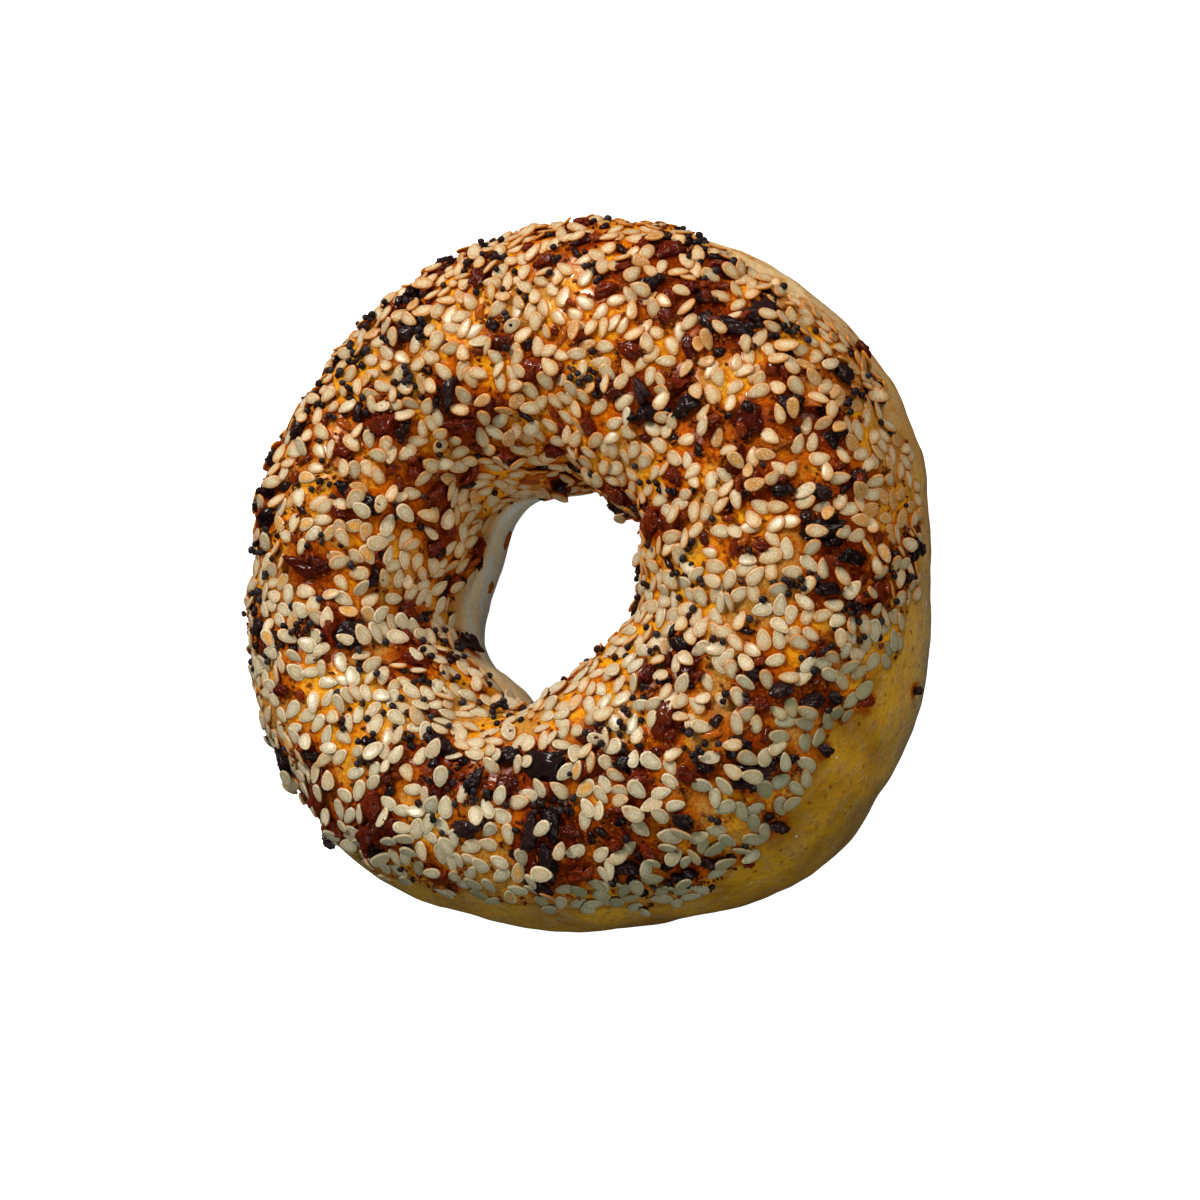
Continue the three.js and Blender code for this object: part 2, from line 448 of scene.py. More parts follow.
# Black flakes: column, row, length and width in millimetres, heading in degrees
BLACK_FLAKES = (
    (548, 768, 6.4, 4.4, 20), (552, 822, 4.6, 2.6, 85), (551, 862, 5.4, 2.4, 80), (531, 836, 5.2, 2.2, 80),
    (548, 882, 3.6, 2.2, 95), (688, 408, 4.0, 2.6, 10), (652, 412, 4.6, 2.2, -5), (644, 393, 4.4, 1.7, 130),
    (790, 408, 3.8, 3.4, 30), (827, 410, 3.4, 1.6, 0), (760, 315, 4.8, 3.6, 60), (735, 330, 4.2, 2.2, -10),
    (708, 322, 3.0, 2.2, 90), (651, 285, 4.4, 2.0, 15), (703, 298, 3.0, 1.4, 80), (451, 393, 4.6, 1.9, 62),
    (274, 458, 3.0, 2.0, 80), (273, 488, 3.0, 2.2, 90), (270, 520, 2.6, 2.2, 90), (262, 505, 2.2, 1.4, 90),
    (303, 428, 3.4, 1.2, 100), (373, 507, 4.0, 2.8, 10), (402, 512, 3.0, 2.2, 0), (347, 492, 2.4, 2.0, 0),
    (468, 646, 3.8, 1.8, 128), (350, 636, 4.8, 4.0, 60), (262, 628, 2.8, 2.4, 0), (284, 636, 3.0, 1.6, 170),
    (404, 334, 3.4, 2.2, 10), (414, 300, 2.6, 2.0, 0), (440, 746, 3.8, 2.4, 160), (476, 782, 2.6, 2.0, 90),
    (467, 828, 3.6, 2.2, 165), (376, 849, 3.2, 1.6, 150), (287, 762, 3.8, 3.0, 60), (315, 756, 3.0, 1.6, 0),
    (857, 480, 3.2, 2.4, 90), (832, 438, 3.0, 2.2, 80), (783, 492, 3.4, 1.7, 10), (820, 494, 2.4, 2.0, 0),
    (820, 530, 5.6, 2.4, 10), (850, 558, 4.6, 2.2, 0), (890, 556, 2.8, 1.6, 170), (911, 550, 3.2, 1.8, 90),
    (684, 645, 3.2, 2.8, 0), (755, 675, 2.8, 1.5, 0), (783, 690, 3.0, 2.0, 0), (812, 702, 3.6, 2.0, 20),
    (830, 700, 2.2, 1.4, 170), (740, 748, 4.2, 3.2, 20), (750, 776, 5.4, 3.2, 10), (786, 760, 2.8, 1.8, 0),
    (824, 750, 2.0, 1.7, 0), (625, 763, 2.4, 2.0, 60), (684, 820, 3.4, 2.2, 160), (624, 866, 3.6, 2.0, 10),
    (682, 877, 3.2, 1.6, 160), (708, 862, 2.4, 1.8, 0), (778, 826, 2.6, 1.8, 0), (827, 590, 3.2, 2.2, 0),
    (855, 606, 2.4, 1.8, 90), (510, 757, 3.8, 2.0, 0), (842, 376, 3.4, 2.8, 60), (705, 768, 2.6, 1.5, 0),
    (372, 580, 2.2, 1.2, 90), (914, 690, 1.4, 0.9, 60), (442, 256, 3.2, 1.4, 35), (331, 838, 2.4, 1.2, 150),
)
# Red-brown flakes, in the same terms
BROWN_FLAKES = (
    (750, 418, 4.8, 4.2, 60), (483, 275, 4.2, 3.2, 80), (671, 252, 3.8, 3.4, 40), (648, 248, 3.0, 2.6, 0),
    (395, 313, 2.8, 2.2, 20), (462, 425, 4.4, 2.6, 15), (488, 405, 3.6, 2.6, 30), (538, 370, 5.4, 3.2, 0),
    (547, 262, 3.4, 1.9, 15), (581, 226, 2.4, 2.0, 0), (583, 242, 3.2, 1.7, 10), (605, 290, 3.6, 1.8, 25),
    (625, 268, 2.2, 1.5, 0), (670, 296, 2.8, 1.8, 100), (667, 316, 2.4, 1.9, 90), (690, 290, 2.4, 1.9, 0),
    (716, 268, 3.4, 2.0, 10), (630, 348, 3.8, 1.8, 165), (690, 350, 2.8, 2.2, 110), (580, 336, 2.4, 1.5, 0),
    (786, 368, 3.6, 1.8, 110), (861, 353, 2.2, 1.7, 100), (680, 385, 2.4, 2.2, 0), (615, 390, 2.6, 2.4, 0),
    (590, 423, 3.2, 1.8, 100), (705, 428, 1.8, 1.2, 0), (736, 455, 2.6, 1.8, 80), (752, 481, 3.8, 2.8, 0),
    (676, 475, 2.6, 1.8, 110), (619, 492, 4.0, 2.0, 115), (655, 520, 3.2, 2.6, 90), (676, 523, 3.6, 1.5, 35),
    (736, 546, 2.4, 1.5, 90), (762, 548, 2.3, 1.2, 170), (345, 452, 2.6, 1.9, 0), (415, 472, 2.2, 1.6, 150),
    (476, 547, 2.8, 2.2, 80), (340, 514, 2.2, 1.6, 0), (310, 566, 6.8, 2.4, 175), (385, 425, 3.6, 2.8, 60),
    (452, 582, 2.8, 2.2, 30), (407, 615, 2.9, 1.5, 0), (332, 632, 2.2, 1.4, 90), (322, 789, 6.2, 2.8, 48),
    (372, 806, 4.0, 2.4, 90), (372, 832, 4.2, 3.0, 60), (392, 826, 3.0, 2.4, 0), (334, 824, 3.4, 2.0, 150),
    (437, 874, 3.4, 2.8, 60), (578, 872, 3.0, 2.6, 0), (590, 736, 2.9, 2.3, 0), (440, 782, 3.8, 2.6, 80),
    (400, 756, 2.8, 2.0, 80), (412, 660, 3.8, 2.6, 150), (663, 722, 4.0, 3.4, 70), (648, 676, 2.6, 1.9, 80),
    (688, 668, 3.2, 2.8, 60), (690, 772, 3.2, 2.2, 0), (639, 777, 3.0, 2.4, 60), (585, 770, 2.4, 2.0, 0),
    (632, 812, 5.4, 1.9, 0), (617, 843, 1.7, 1.4, 45), (650, 850, 2.8, 1.7, 150), (570, 830, 3.0, 1.8, 160),
    (748, 860, 1.4, 1.2, 45), (760, 705, 2.9, 1.6, 0), (828, 650, 2.8, 1.3, 170), (878, 592, 3.2, 2.0, 0),
    (510, 785, 3.2, 3.0, 0), (283, 690, 2.2, 2.0, 0), (865, 700, 2.4, 1.4, 0), (503, 343, 2.6, 2.0, 0),
    (436, 492, 3.2, 2.4, 80), (446, 526, 2.8, 2.0, 110), (469, 474, 2.4, 1.6, 60), (555, 448, 3.0, 2.0, 30),
    (576, 474, 2.8, 1.8, 20), (558, 481, 2.4, 1.6, 0), (431, 548, 2.6, 1.8, 70), (505, 452, 2.6, 1.8, 150),
)
# Thin clear flakes of an amber colour, in the same terms
AMBER_FLAKES = (
    (573, 668, 2.8, 1.8, 20), (562, 690, 3.2, 2.0, 30), (530, 481, 2.8, 2.2, 0), (745, 541, 2.4, 1.2, 80),
    (470, 667, 3.0, 2.2, 0), (860, 586, 3.8, 1.9, 10), (775, 443, 3.4, 2.2, 10), (440, 663, 3.4, 2.0, 70),
    (640, 430, 2.2, 1.8, 0), (812, 405, 2.8, 2.2, 0), (500, 800, 2.6, 1.6, 30), (345, 425, 3.0, 1.6, 140),
    (509, 540, 2.6, 1.8, 80), (490, 588, 1.8, 1.2, 120), (472, 560, 2.4, 1.5, 70), (536, 476, 2.4, 1.7, 20),
    (385, 660, 3.0, 1.8, 20), (562, 338, 2.6, 1.4, 60), (715, 735, 2.6, 1.4, 20), (480, 312, 3.0, 1.6, 80),
)
# Clusters of poppy seeds: column, row and radius in pixels
POPPY_CLUSTERS = (
    (350, 690, 13), (355, 722, 9), (422, 710, 14), (408, 722, 14), (395, 706, 10), (447, 650, 12),
    (448, 672, 9), (475, 690, 10), (500, 709, 9), (527, 707, 8), (552, 697, 6), (380, 672, 8),
    (358, 662, 12), (300, 625, 14), (320, 630, 9), (275, 640, 10), (404, 378, 12), (340, 372, 18),
    (352, 398, 16), (436, 343, 9), (324, 400, 8), (372, 330, 10), (345, 360, 12), (405, 322, 20),
    (480, 255, 12), (500, 265, 10), (582, 376, 10), (597, 263, 7), (592, 280, 9), (510, 314, 8),
    (710, 262, 16), (748, 272, 9), (765, 285, 10), (705, 296, 9), (690, 250, 10), (598, 384, 6),
    (690, 585, 12), (678, 578, 8), (688, 602, 9), (665, 637, 10), (622, 653, 8), (665, 672, 8),
    (655, 495, 9), (742, 595, 9), (790, 590, 8), (812, 583, 12), (856, 632, 13), (850, 612, 10),
    (615, 735, 14), (603, 722, 8), (640, 708, 7), (725, 697, 10), (745, 695, 7), (700, 745, 10),
    (650, 780, 8), (628, 862, 10), (640, 870, 8), (660, 862, 8), (480, 800, 10), (440, 795, 9),
    (478, 818, 8), (370, 750, 10), (372, 775, 6), (300, 500, 4), (312, 488, 8), (268, 545, 12),
    (256, 600, 10), (330, 545, 12), (575, 780, 5), (862, 400, 12), (875, 410, 8), (898, 575, 8),
    (880, 610, 6), (775, 335, 10), (785, 325, 9), (805, 297, 5), (832, 316, 6), (722, 516, 5),
    (712, 514, 6), (690, 543, 5), (800, 660, 6), (815, 672, 7), (830, 672, 5), (760, 608, 6),
    (425, 640, 8), (560, 800, 12), (545, 812, 10), (715, 640, 6), (785, 828, 7), (720, 815, 6),
)
# Single poppy seeds on bare crust, in the same terms
STRAY_POPPIES = ((506, 510, 3), (481, 502, 3), (479, 518, 3), (491, 652, 3), (926, 636, 2))
# Crust soaked red by the flakes, in the same terms
SOAKED_PATCHES = (
    (440, 500, 18), (448, 540, 16), (560, 470, 16), (500, 462, 14), (430, 575, 12),
    (790, 445, 30), (385, 422, 24), (395, 352, 16), (460, 430, 24), (315, 574, 24), (700, 456, 16),
    (655, 520, 16), (735, 335, 20), (412, 662, 24), (515, 785, 20), (440, 775, 22), (370, 822, 30),
    (640, 790, 16), (700, 300, 20), (680, 268, 20), (588, 240, 16), (503, 343, 12), (810, 600, 18),
    (880, 592, 20), (600, 764, 16), (335, 628, 18), (480, 692, 16), (345, 500, 16), (560, 470, 12),
    (645, 400, 22), (620, 485, 14), (760, 484, 18), (830, 430, 20), (850, 520, 26), (750, 690, 18),
    (770, 640, 16), (300, 740, 16), (455, 355, 10), (545, 700, 10), (585, 700, 10), (310, 450, 10),
)
# Bare crust, in the same terms
BARE_PATCHES = (
    (578, 268, 20), (563, 321, 10), (696, 235, 16), (767, 300, 12), (790, 440, 24), (711, 452, 16),
    (314, 471, 16), (298, 703, 16), (762, 530, 14), (400, 785, 16), (330, 572, 18), (345, 770, 12),
    (525, 790, 12), (700, 790, 18), (655, 690, 14), (735, 690, 12), (640, 465, 8), (745, 350, 8),
    (735, 425, 8), (430, 680, 16), (480, 560, 10), (500, 720, 12), (640, 440, 6), (615, 250, 8),
    (330, 475, 12), (705, 820, 14), (820, 640, 10), (530, 700, 10), (380, 690, 10), (540, 290, 8),
    (790, 330, 12), (870, 430, 10), (700, 560, 8), (850, 680, 10), (610, 810, 8), (480, 360, 8),
)
# Where toasted seeds gather, in the same terms, and how many seeds are toasted there and anywhere
TOASTED_IN_PATCH = 0.5
TOASTED_ANYWHERE = 0.06
TOASTED_PATCHES = (
    (312, 515, 22), (300, 545, 14), (850, 400, 26), (872, 440, 24), (885, 500, 28), (862, 470, 20),
    (700, 332, 20), (790, 430, 22), (480, 400, 14), (760, 470, 16),
)
# Where the seeds get painted shade, dull and greenish, in the same terms, and how deep the painted shade is
# there
SEED_SHADE_STRENGTH = 0.72
SHADED_SEED_PATCHES = (
    (800, 742, 26), (775, 780, 26), (835, 715, 22), (862, 690, 18), (745, 815, 24), (790, 705, 16),
    (712, 850, 22), (670, 880, 20), (885, 650, 16), (620, 896, 16), (300, 850, 18), (280, 820, 16),
    (420, 880, 14), (480, 898, 14), (540, 905, 14), (580, 890, 12), (350, 862, 12), (640, 850, 12),
)
# Crust with a wet sheen, in the same terms
WET_PATCHES = (
    (575, 268, 16), (600, 270, 12), (690, 335, 10), (740, 365, 9), (735, 425, 12), (770, 415, 10),
    (330, 448, 9), (745, 400, 8), (560, 300, 12), (563, 321, 10), (585, 298, 10), (540, 250, 10),
)


class CrustMap:
    """A fine grid over the crown and both walls: where the crust is and how high the toppings lie on it."""

    # Cells round the ring and over its section, and the section angles that they cover, in degrees
    ROUND = 1800
    OVER = 460
    FROM = -22.0
    TO = 202.0
    # How squarely a seen cell faces the camera at least, as a cosine
    SEEN_FROM = 0.08

    def __init__(self, sizes):
        around = np.linspace(0, FULL_TURN, self.ROUND, endpoint=False)
        self.section = np.linspace(self.FROM, self.TO, self.OVER)
        self.around = around
        self.point = crust_points(sizes, around[:, None], np.radians(self.section)[None, :])
        along = (np.roll(self.point, -1, axis=0) - np.roll(self.point, 1, axis=0)) / 2
        over = np.gradient(self.point, axis=1)
        self.normal = unit(np.cross(along, over))
        self.side = unit(along)
        self.step_round = np.linalg.norm(along, axis=-1)
        self.step_over = np.linalg.norm(over, axis=-1)
        self.area = self.step_round * self.step_over
        self.height = np.zeros(self.area.shape)
        self.covered = np.zeros(self.area.shape, bool)
        self.flaked = np.zeros(self.area.shape, bool)
        self.seeded = seeded_share(around[:, None], self.section[None, :], self.point)
        self.column, self.row = frame_pixels(self.point)
        backward = np.array(camera_axes()[2])
        eye = np.array(camera_aim()) + backward * CAMERA_DISTANCE
        self.facing = (self.normal * unit(eye - self.point)).sum(axis=-1)
        self.seen = self.facing > self.SEEN_FROM

    def cell_at_pixel(self, column, row):
        """The seen cell whose place in the camera's frame is nearest to a pixel."""
        far = (self.column - column) ** 2 + (self.row - row) ** 2
        far = np.where(self.seen, far, np.inf)
        return np.unravel_index(np.argmin(far), far.shape)

    def near_pixels(self, marks):
        """1 at the middle of each mark (column, row, radius), fading out of it, on seen crust."""
        share = np.zeros(self.area.shape)
        for column, row, radius in marks:
            far = (self.column - column) ** 2 + (self.row - row) ** 2
            share = np.maximum(share, np.exp(-far / (2 * radius * radius)))
        return share * self.seen

    def window(self, cell, reach):
        """Indices of the cells within reach of a cell."""
        i, j = cell
        half_round = int(reach / self.step_round[i, j]) + 1
        half_over = int(reach / self.step_over[i, j]) + 1
        rounds = np.arange(i - half_round, i + half_round + 1) % self.ROUND
        overs = np.arange(max(0, j - half_over), min(self.OVER, j + half_over + 1))
        return np.ix_(rounds, overs)


def settle(crust, cell, heading, half_length, half_width, thickness, sunk, most_lean):
    """How a flat topping rests on the crust and on what lies there already: its place, or None."""
    normal = crust.normal[cell]
    side = crust.side[cell]
    over = np.cross(normal, side)
    along = math.cos(heading) * side + math.sin(heading) * over
    across = np.cross(normal, along)
    near = crust.window(cell, max(half_length, half_width))
    offset = crust.point[near] - crust.point[cell]
    x = offset @ along
    y = offset @ across
    drop = offset @ normal
    inside = (x / half_length) ** 2 + (y / half_width) ** 2 < 1
    if not inside.any():
        return None
    surface = (crust.height[near] + drop)[inside]
    xs, ys = x[inside], y[inside]
    lean = [0.0, 0.0]
    for axis, (values, half) in enumerate(((xs, half_length), (ys, half_width))):
        ahead = surface[values > END_FROM * half]
        behind = surface[values < -END_FROM * half]
        if len(ahead) and len(behind):
            rise = np.quantile(ahead, END_CARRIER) - np.quantile(behind, END_CARRIER)
            lean[axis] = float(np.clip(rise / (END_SPAN * half), -most_lean, most_lean))
    rest = float(np.quantile(surface - lean[0] * xs - lean[1] * ys, CARRIER)) - sunk
    upward = unit(normal - lean[0] * along - lean[1] * across)
    along = unit(along + lean[0] * normal)
    across = np.cross(upward, along)
    return {
        "near": near, "inside": inside, "drop": drop, "x": x, "y": y, "lean": lean, "rest": rest,
        "centre": crust.point[cell] + normal * rest + upward * thickness / 2,
        "axes": np.stack([along, across, upward]), "cell": cell,
        "half": (half_length, half_width), "thickness": thickness,
    }


def lay_down(crust, place):
    """Raises the grid by a topping that has been given its place."""
    half_length, half_width = place["half"]
    edge = np.clip(1 - (place["x"] / half_length) ** 2 - (place["y"] / half_width) ** 2, 0, 1)
    plane = place["rest"] + place["lean"][0] * place["x"] + place["lean"][1] * place["y"]
    top = plane + place["thickness"] * (0.5 + 0.5 * np.sqrt(edge)) - place["drop"]
    raised = np.maximum(crust.height[place["near"]], top)
    crust.height[place["near"]] = np.where(place["inside"], raised, crust.height[place["near"]])


def draw_cells(random, weight, count):
    """Random cells of the grid, each as likely as its weight."""
    flat = np.cumsum(weight.ravel())
    picks = np.searchsorted(flat, random.uniform(0, flat[-1], count))
    return list(zip(*np.unravel_index(picks, weight.shape)))


# ---- meshes ----

def link_piece(name, mesh, material):
    """Makes an object of a mesh, which rides on the body and takes its finish from a slot."""
    mesh.materials.append(material)
    piece = bpy.data.objects.new(name, mesh)
    bpy.context.scene.collection.objects.link(piece)
    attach(piece, BODY)
    return piece


def shade_smooth(mesh):
    """Shades all the faces of a mesh smoothly."""
    mesh.polygons.foreach_set("use_smooth", np.ones(len(mesh.polygons), bool))


def store_values(mesh, label, values):
    """Stores a number for each vertex under a label that the finishes read."""
    attribute = mesh.attributes.new(label, "FLOAT", "POINT")
    attribute.data.foreach_set("value", np.ascontiguousarray(values, np.float32))


def ball_shape(rings=None, segments=None, fineness=None):
    """Vertices and faces of a round bmesh shape: a globe with rings and segments, or an even ball."""
    shape = bmesh.new()
    if fineness is None:
        bmesh.ops.create_uvsphere(shape, u_segments=segments, v_segments=rings, radius=1)
    else:
        bmesh.ops.create_icosphere(shape, subdivisions=fineness, radius=1)
    vertices = np.array([vertex.co[:] for vertex in shape.verts])
    faces = [[vertex.index for vertex in face.verts] for face in shape.faces]
    shape.free()
    return vertices, faces


def joined_mesh(name, shapes, faces, places, values):
    """One mesh of many placed copies. shapes is copies x vertices x 3, values are for each copy or vertex."""
    axes = np.stack([place["axes"] for place in places])
    centres = np.stack([place["centre"] for place in places])
    points = np.einsum("cvk,ckj->cvj", shapes, axes) + centres[:, None, :]
    copies, corners = points.shape[:2]
    mesh = bpy.data.meshes.new(name)
    all_faces = [[index + copy * corners for index in face] for copy in range(copies) for face in faces]
    mesh.from_pydata(points.reshape(-1, 3).tolist(), [], all_faces)
    for label, value in values.items():
        store_values(mesh, label, value if value.shape[0] == copies * corners else np.repeat(value, corners))
    shade_smooth(mesh)
    return mesh


# ---- shading helpers ----

class Finish:
    """A material under construction, with short ways to add and join its nodes."""

    def __init__(self, name, roughness):
        self.material = bpy.data.materials.new(name)
        self.material.use_nodes = True
        self.tree = self.material.node_tree
        self.shader = self.tree.nodes["Principled BSDF"]
        self.shader.inputs["Roughness"].default_value = roughness

    def add(self, kind, settings=None, **inputs):
        """A new node with its settings and inputs."""
        node = self.tree.nodes.new(kind)
        for label, value in (settings or {}).items():
            setattr(node, label, value)
        for label, value in inputs.items():
            self.put(node.inputs[label.replace("_", " ")], value)
        return node

    def put(self, socket, value):
        """Links a socket to another one, or sets its value."""
        if isinstance(value, bpy.types.NodeSocket):
            self.tree.links.new(value, socket)
        elif isinstance(value, (tuple, list)) and len(value) == 3 and socket.type == "RGBA":
            socket.default_value = (*value, 1)
        else:
            socket.default_value = value

    def position(self):
        return self.add("ShaderNodeTexCoord").outputs["Object"]

    def attribute(self, label):
        return self.add("ShaderNodeAttribute", {"attribute_name": label}).outputs["Fac"]

    def noise(self, size, detail=3.0, roughness=0.55):
        """Noise from 0 to 1 whose patches are about a size across."""
        node = self.add(
            "ShaderNodeTexNoise", Scale=1 / size, Detail=detail, Roughness=roughness, Vector=self.position()
        )
        return node.outputs["Fac"]

    def spots(self, spacing, radius, softness=0.5):
        """Round spots where the points of a cell pattern come close to the surface."""
        cells = self.add("ShaderNodeTexVoronoi", Scale=1 / spacing, Vector=self.position())
        reach = radius / spacing
        return self.spread(cells.outputs["Distance"], (1 - softness) * reach, reach, 1, 0)

    def spread(self, value, low, high, to_low=0.0, to_high=1.0):
        """A value carried softly from low and high to two new numbers."""
        node = self.add("ShaderNodeMapRange", {"interpolation_type": "SMOOTHSTEP"})
        self.put(node.inputs["Value"], value)
        for label, number in (("From Min", low), ("From Max", high), ("To Min", to_low), ("To Max", to_high)):
            node.inputs[label].default_value = number
        return node.outputs["Result"]

    def sum(self, one, other, operation="ADD"):
        """Two values joined by a sum or another operation."""
        node = self.add("ShaderNodeMath", {"operation": operation})
        self.put(node.inputs[0], one)
        self.put(node.inputs[1], other)
        return node.outputs[0]

    def times(self, one, other):
        return self.sum(one, other, "MULTIPLY")

    def mix(self, share, one, other, blend="MIX"):
        """A share of another colour over one colour."""
        node = self.add("ShaderNodeMix", {"data_type": "RGBA", "blend_type": blend})
        self.put(node.inputs["Factor"], share)
        self.put(node.inputs[6], one)
        self.put(node.inputs[7], other)
        return node.outputs[2]

    def paint(self, base, *layers):
        """A colour with layers over it from the lowest up, each a share and its colour."""
        for share, colour in layers:
            base = self.mix(share, base, colour)
        return base

    def bump(self, height, distance, strength=1.0):
        """Relief on the surface."""
        node = self.add("ShaderNodeBump", Distance=distance, Strength=strength, Height=height)
        self.put(self.shader.inputs["Normal"], node.outputs["Normal"])

    def set(self, **inputs):
        """Sets or links inputs of the shader."""
        for label, value in inputs.items():
            self.put(self.shader.inputs[label.replace("_", " ")], value)


def bare_crust(finish, colours, cloud, mottle):
    """Colour of the unseeded sides: mottled tan with freckles, browned by the tray with painted shade at the
    front, with painted light on the pale flush and a painted cool reflection.
    """
    brown_grain = finish.noise(1.1 * MM, 3)
    freckles = finish.spots(2.3 * MM, 0.5 * MM, 0.8)
    pale_dots = finish.spots(3.1 * MM, 0.26 * MM)
    # the pale flush colour: pale dough with painted light over it
    lit_pale_crust = finish.mix(finish.spread(mottle, 0.5, 0.6, 0, 0.8), srgb(255, 218, 160), srgb(236, 150, 44))
    sides = finish.paint(
        tuple(colours.dough),
        (finish.spread(cloud, 0.35, 0.7), srgb(172, 116, 30)),
        (finish.spread(mottle, 0.46, 0.66, 0, 0.5), srgb(212, 170, 116)),
        (finish.spread(brown_grain, 0.52, 0.7, 0, 0.5), srgb(158, 98, 14)),
        (finish.times(finish.attribute("far"), 0.7), srgb(210, 156, 84)),
        # tray browning at the foot, with painted shade at the front and in the skirt
        (finish.attribute("toast_and_shade"), srgb(130, 78, 6)),
        # painted light over pale dough at the back on the right
        (finish.attribute("pale_and_lit"), lit_pale_crust),
        # painted cool reflection low on the right and the left front side
        (finish.attribute("painted_reflection"), srgb(146, 148, 136)),
        (finish.times(freckles, 0.75), srgb(128, 58, 8)),
        (finish.times(pale_dots, 0.8), srgb(244, 226, 196)),
    )
    streak = finish.attribute("streak")
    # painted cool reflection along the streaks under the rim of the hole
    reflecting_streak = finish.times(finish.attribute("painted_reflection"), finish.spread(streak, 0.42, 0.56, 0.25, 1.4))
    walls = finish.paint(
        tuple(colours.inner),
        (finish.times(finish.spread(streak, 0.2, 0.9), mottle), srgb(224, 194, 134)),
        # painted bluish white reflection under the rim of the hole
        (reflecting_streak, srgb(238, 250, 252)),
        # painted light low in the hole at the front left
        (finish.attribute("pale_and_lit"), srgb(255, 226, 180)),
    )
    return finish.mix(finish.attribute("inner"), sides, walls)


def crust_finish(colours):
    """Bread: pale at the sides with a painted cool reflection, tan to orange on the crown with painted light
    and shade over it, stained and glossy round the flakes.
    """
    finish = Finish("bagel_crust", 0.5)
    seeded = finish.attribute("seeded")
    # the glaze share is random baking and pooled glaze, with painted light and shade by place
    glaze = finish.attribute("glaze")
    cloud = finish.noise(9 * MM, 4)
    mottle = finish.noise(2.2 * MM, 5)
    speckle = finish.noise(0.9 * MM, 2)
    fibre = finish.noise(0.42 * MM, 3)
    glazed_and_lit = finish.sum(glaze, finish.spread(mottle, 0.3, 0.7, -0.2, 0.2))
    # painted light and shade through the glaze share: golden and orange toward the back left, tan toward the
    # front right
    crown = finish.paint(
        tuple(colours.tan),
        (finish.spread(glazed_and_lit, 0.2, 0.6), tuple(colours.golden)),
        (finish.spread(glazed_and_lit, 0.6, 1.2), tuple(colours.orange)),
        (finish.spread(finish.noise(1.5 * MM, 3), 0.5, 0.68, 0, 0.6), srgb(184, 82, 4)),
    )
    border = finish.times(finish.spread(seeded, 0.0, 0.5), finish.spread(seeded, 0.5, 1.0, 0.6, 0))
    blotch = finish.sum(
        finish.spread(mottle, 0.3, 0.7, -0.16, 0.16), finish.spread(speckle, 0.3, 0.7, -0.14, 0.14)
    )
    stained = finish.sum(finish.attribute("stain"), blotch)
    soaked = finish.mix(finish.spread(glaze, 0.2, 0.8), srgb(186, 94, 6), tuple(colours.orange))
    deep = finish.mix(finish.spread(glaze, 0.2, 0.7), srgb(136, 48, 3), tuple(colours.umber))
    base = finish.paint(
        bare_crust(finish, colours, cloud, mottle),
        (seeded, crown),
        (border, srgb(158, 100, 26)),
        (finish.spread(stained, 0.3, 0.85), soaked),
        (finish.spread(stained, 0.85, 1.5), deep),
    )
    grain = finish.times(finish.spread(fibre, 0.46, 0.68), finish.spread(seeded, 0, 1, 0.25, 0.64))
    base = finish.mix(grain, base, (0.62, 0.36, 0.14), "MULTIPLY")
    bubbles = finish.times(finish.spread(fibre, 0.26, 0.4, 0.5, 0), seeded)
    finish.set(Base_Color=finish.mix(bubbles, base, srgb(252, 186, 50)))
    finish.set(Subsurface_Weight=0.2, Subsurface_Radius=(1.0, 0.42, 0.1), Subsurface_Scale=0.6 * MM)
    finish.set(Roughness=finish.spread(mottle, 0.35, 0.7, 0.4, 0.24))
    finish.set(Specular_IOR_Level=0.03, Specular_Tint=(1.0, 0.62, 0.2, 1.0), Coat_Roughness=0.18)
    sheen = finish.times(finish.spread(mottle, 0.44, 0.6, 0, 0.36), finish.spread(glazed_and_lit, 0.3, 0.9, 1, 0.3))
    wet = finish.sum(sheen, finish.spread(finish.attribute("wet"), 0.2, 0.7), "MAXIMUM")
    finish.set(Coat_Weight=finish.times(wet, seeded))
    finish.bump(finish.sum(finish.noise(0.7 * MM, 4), finish.times(mottle, 1.5)), 0.34 * MM, 0.7)
    return finish.material


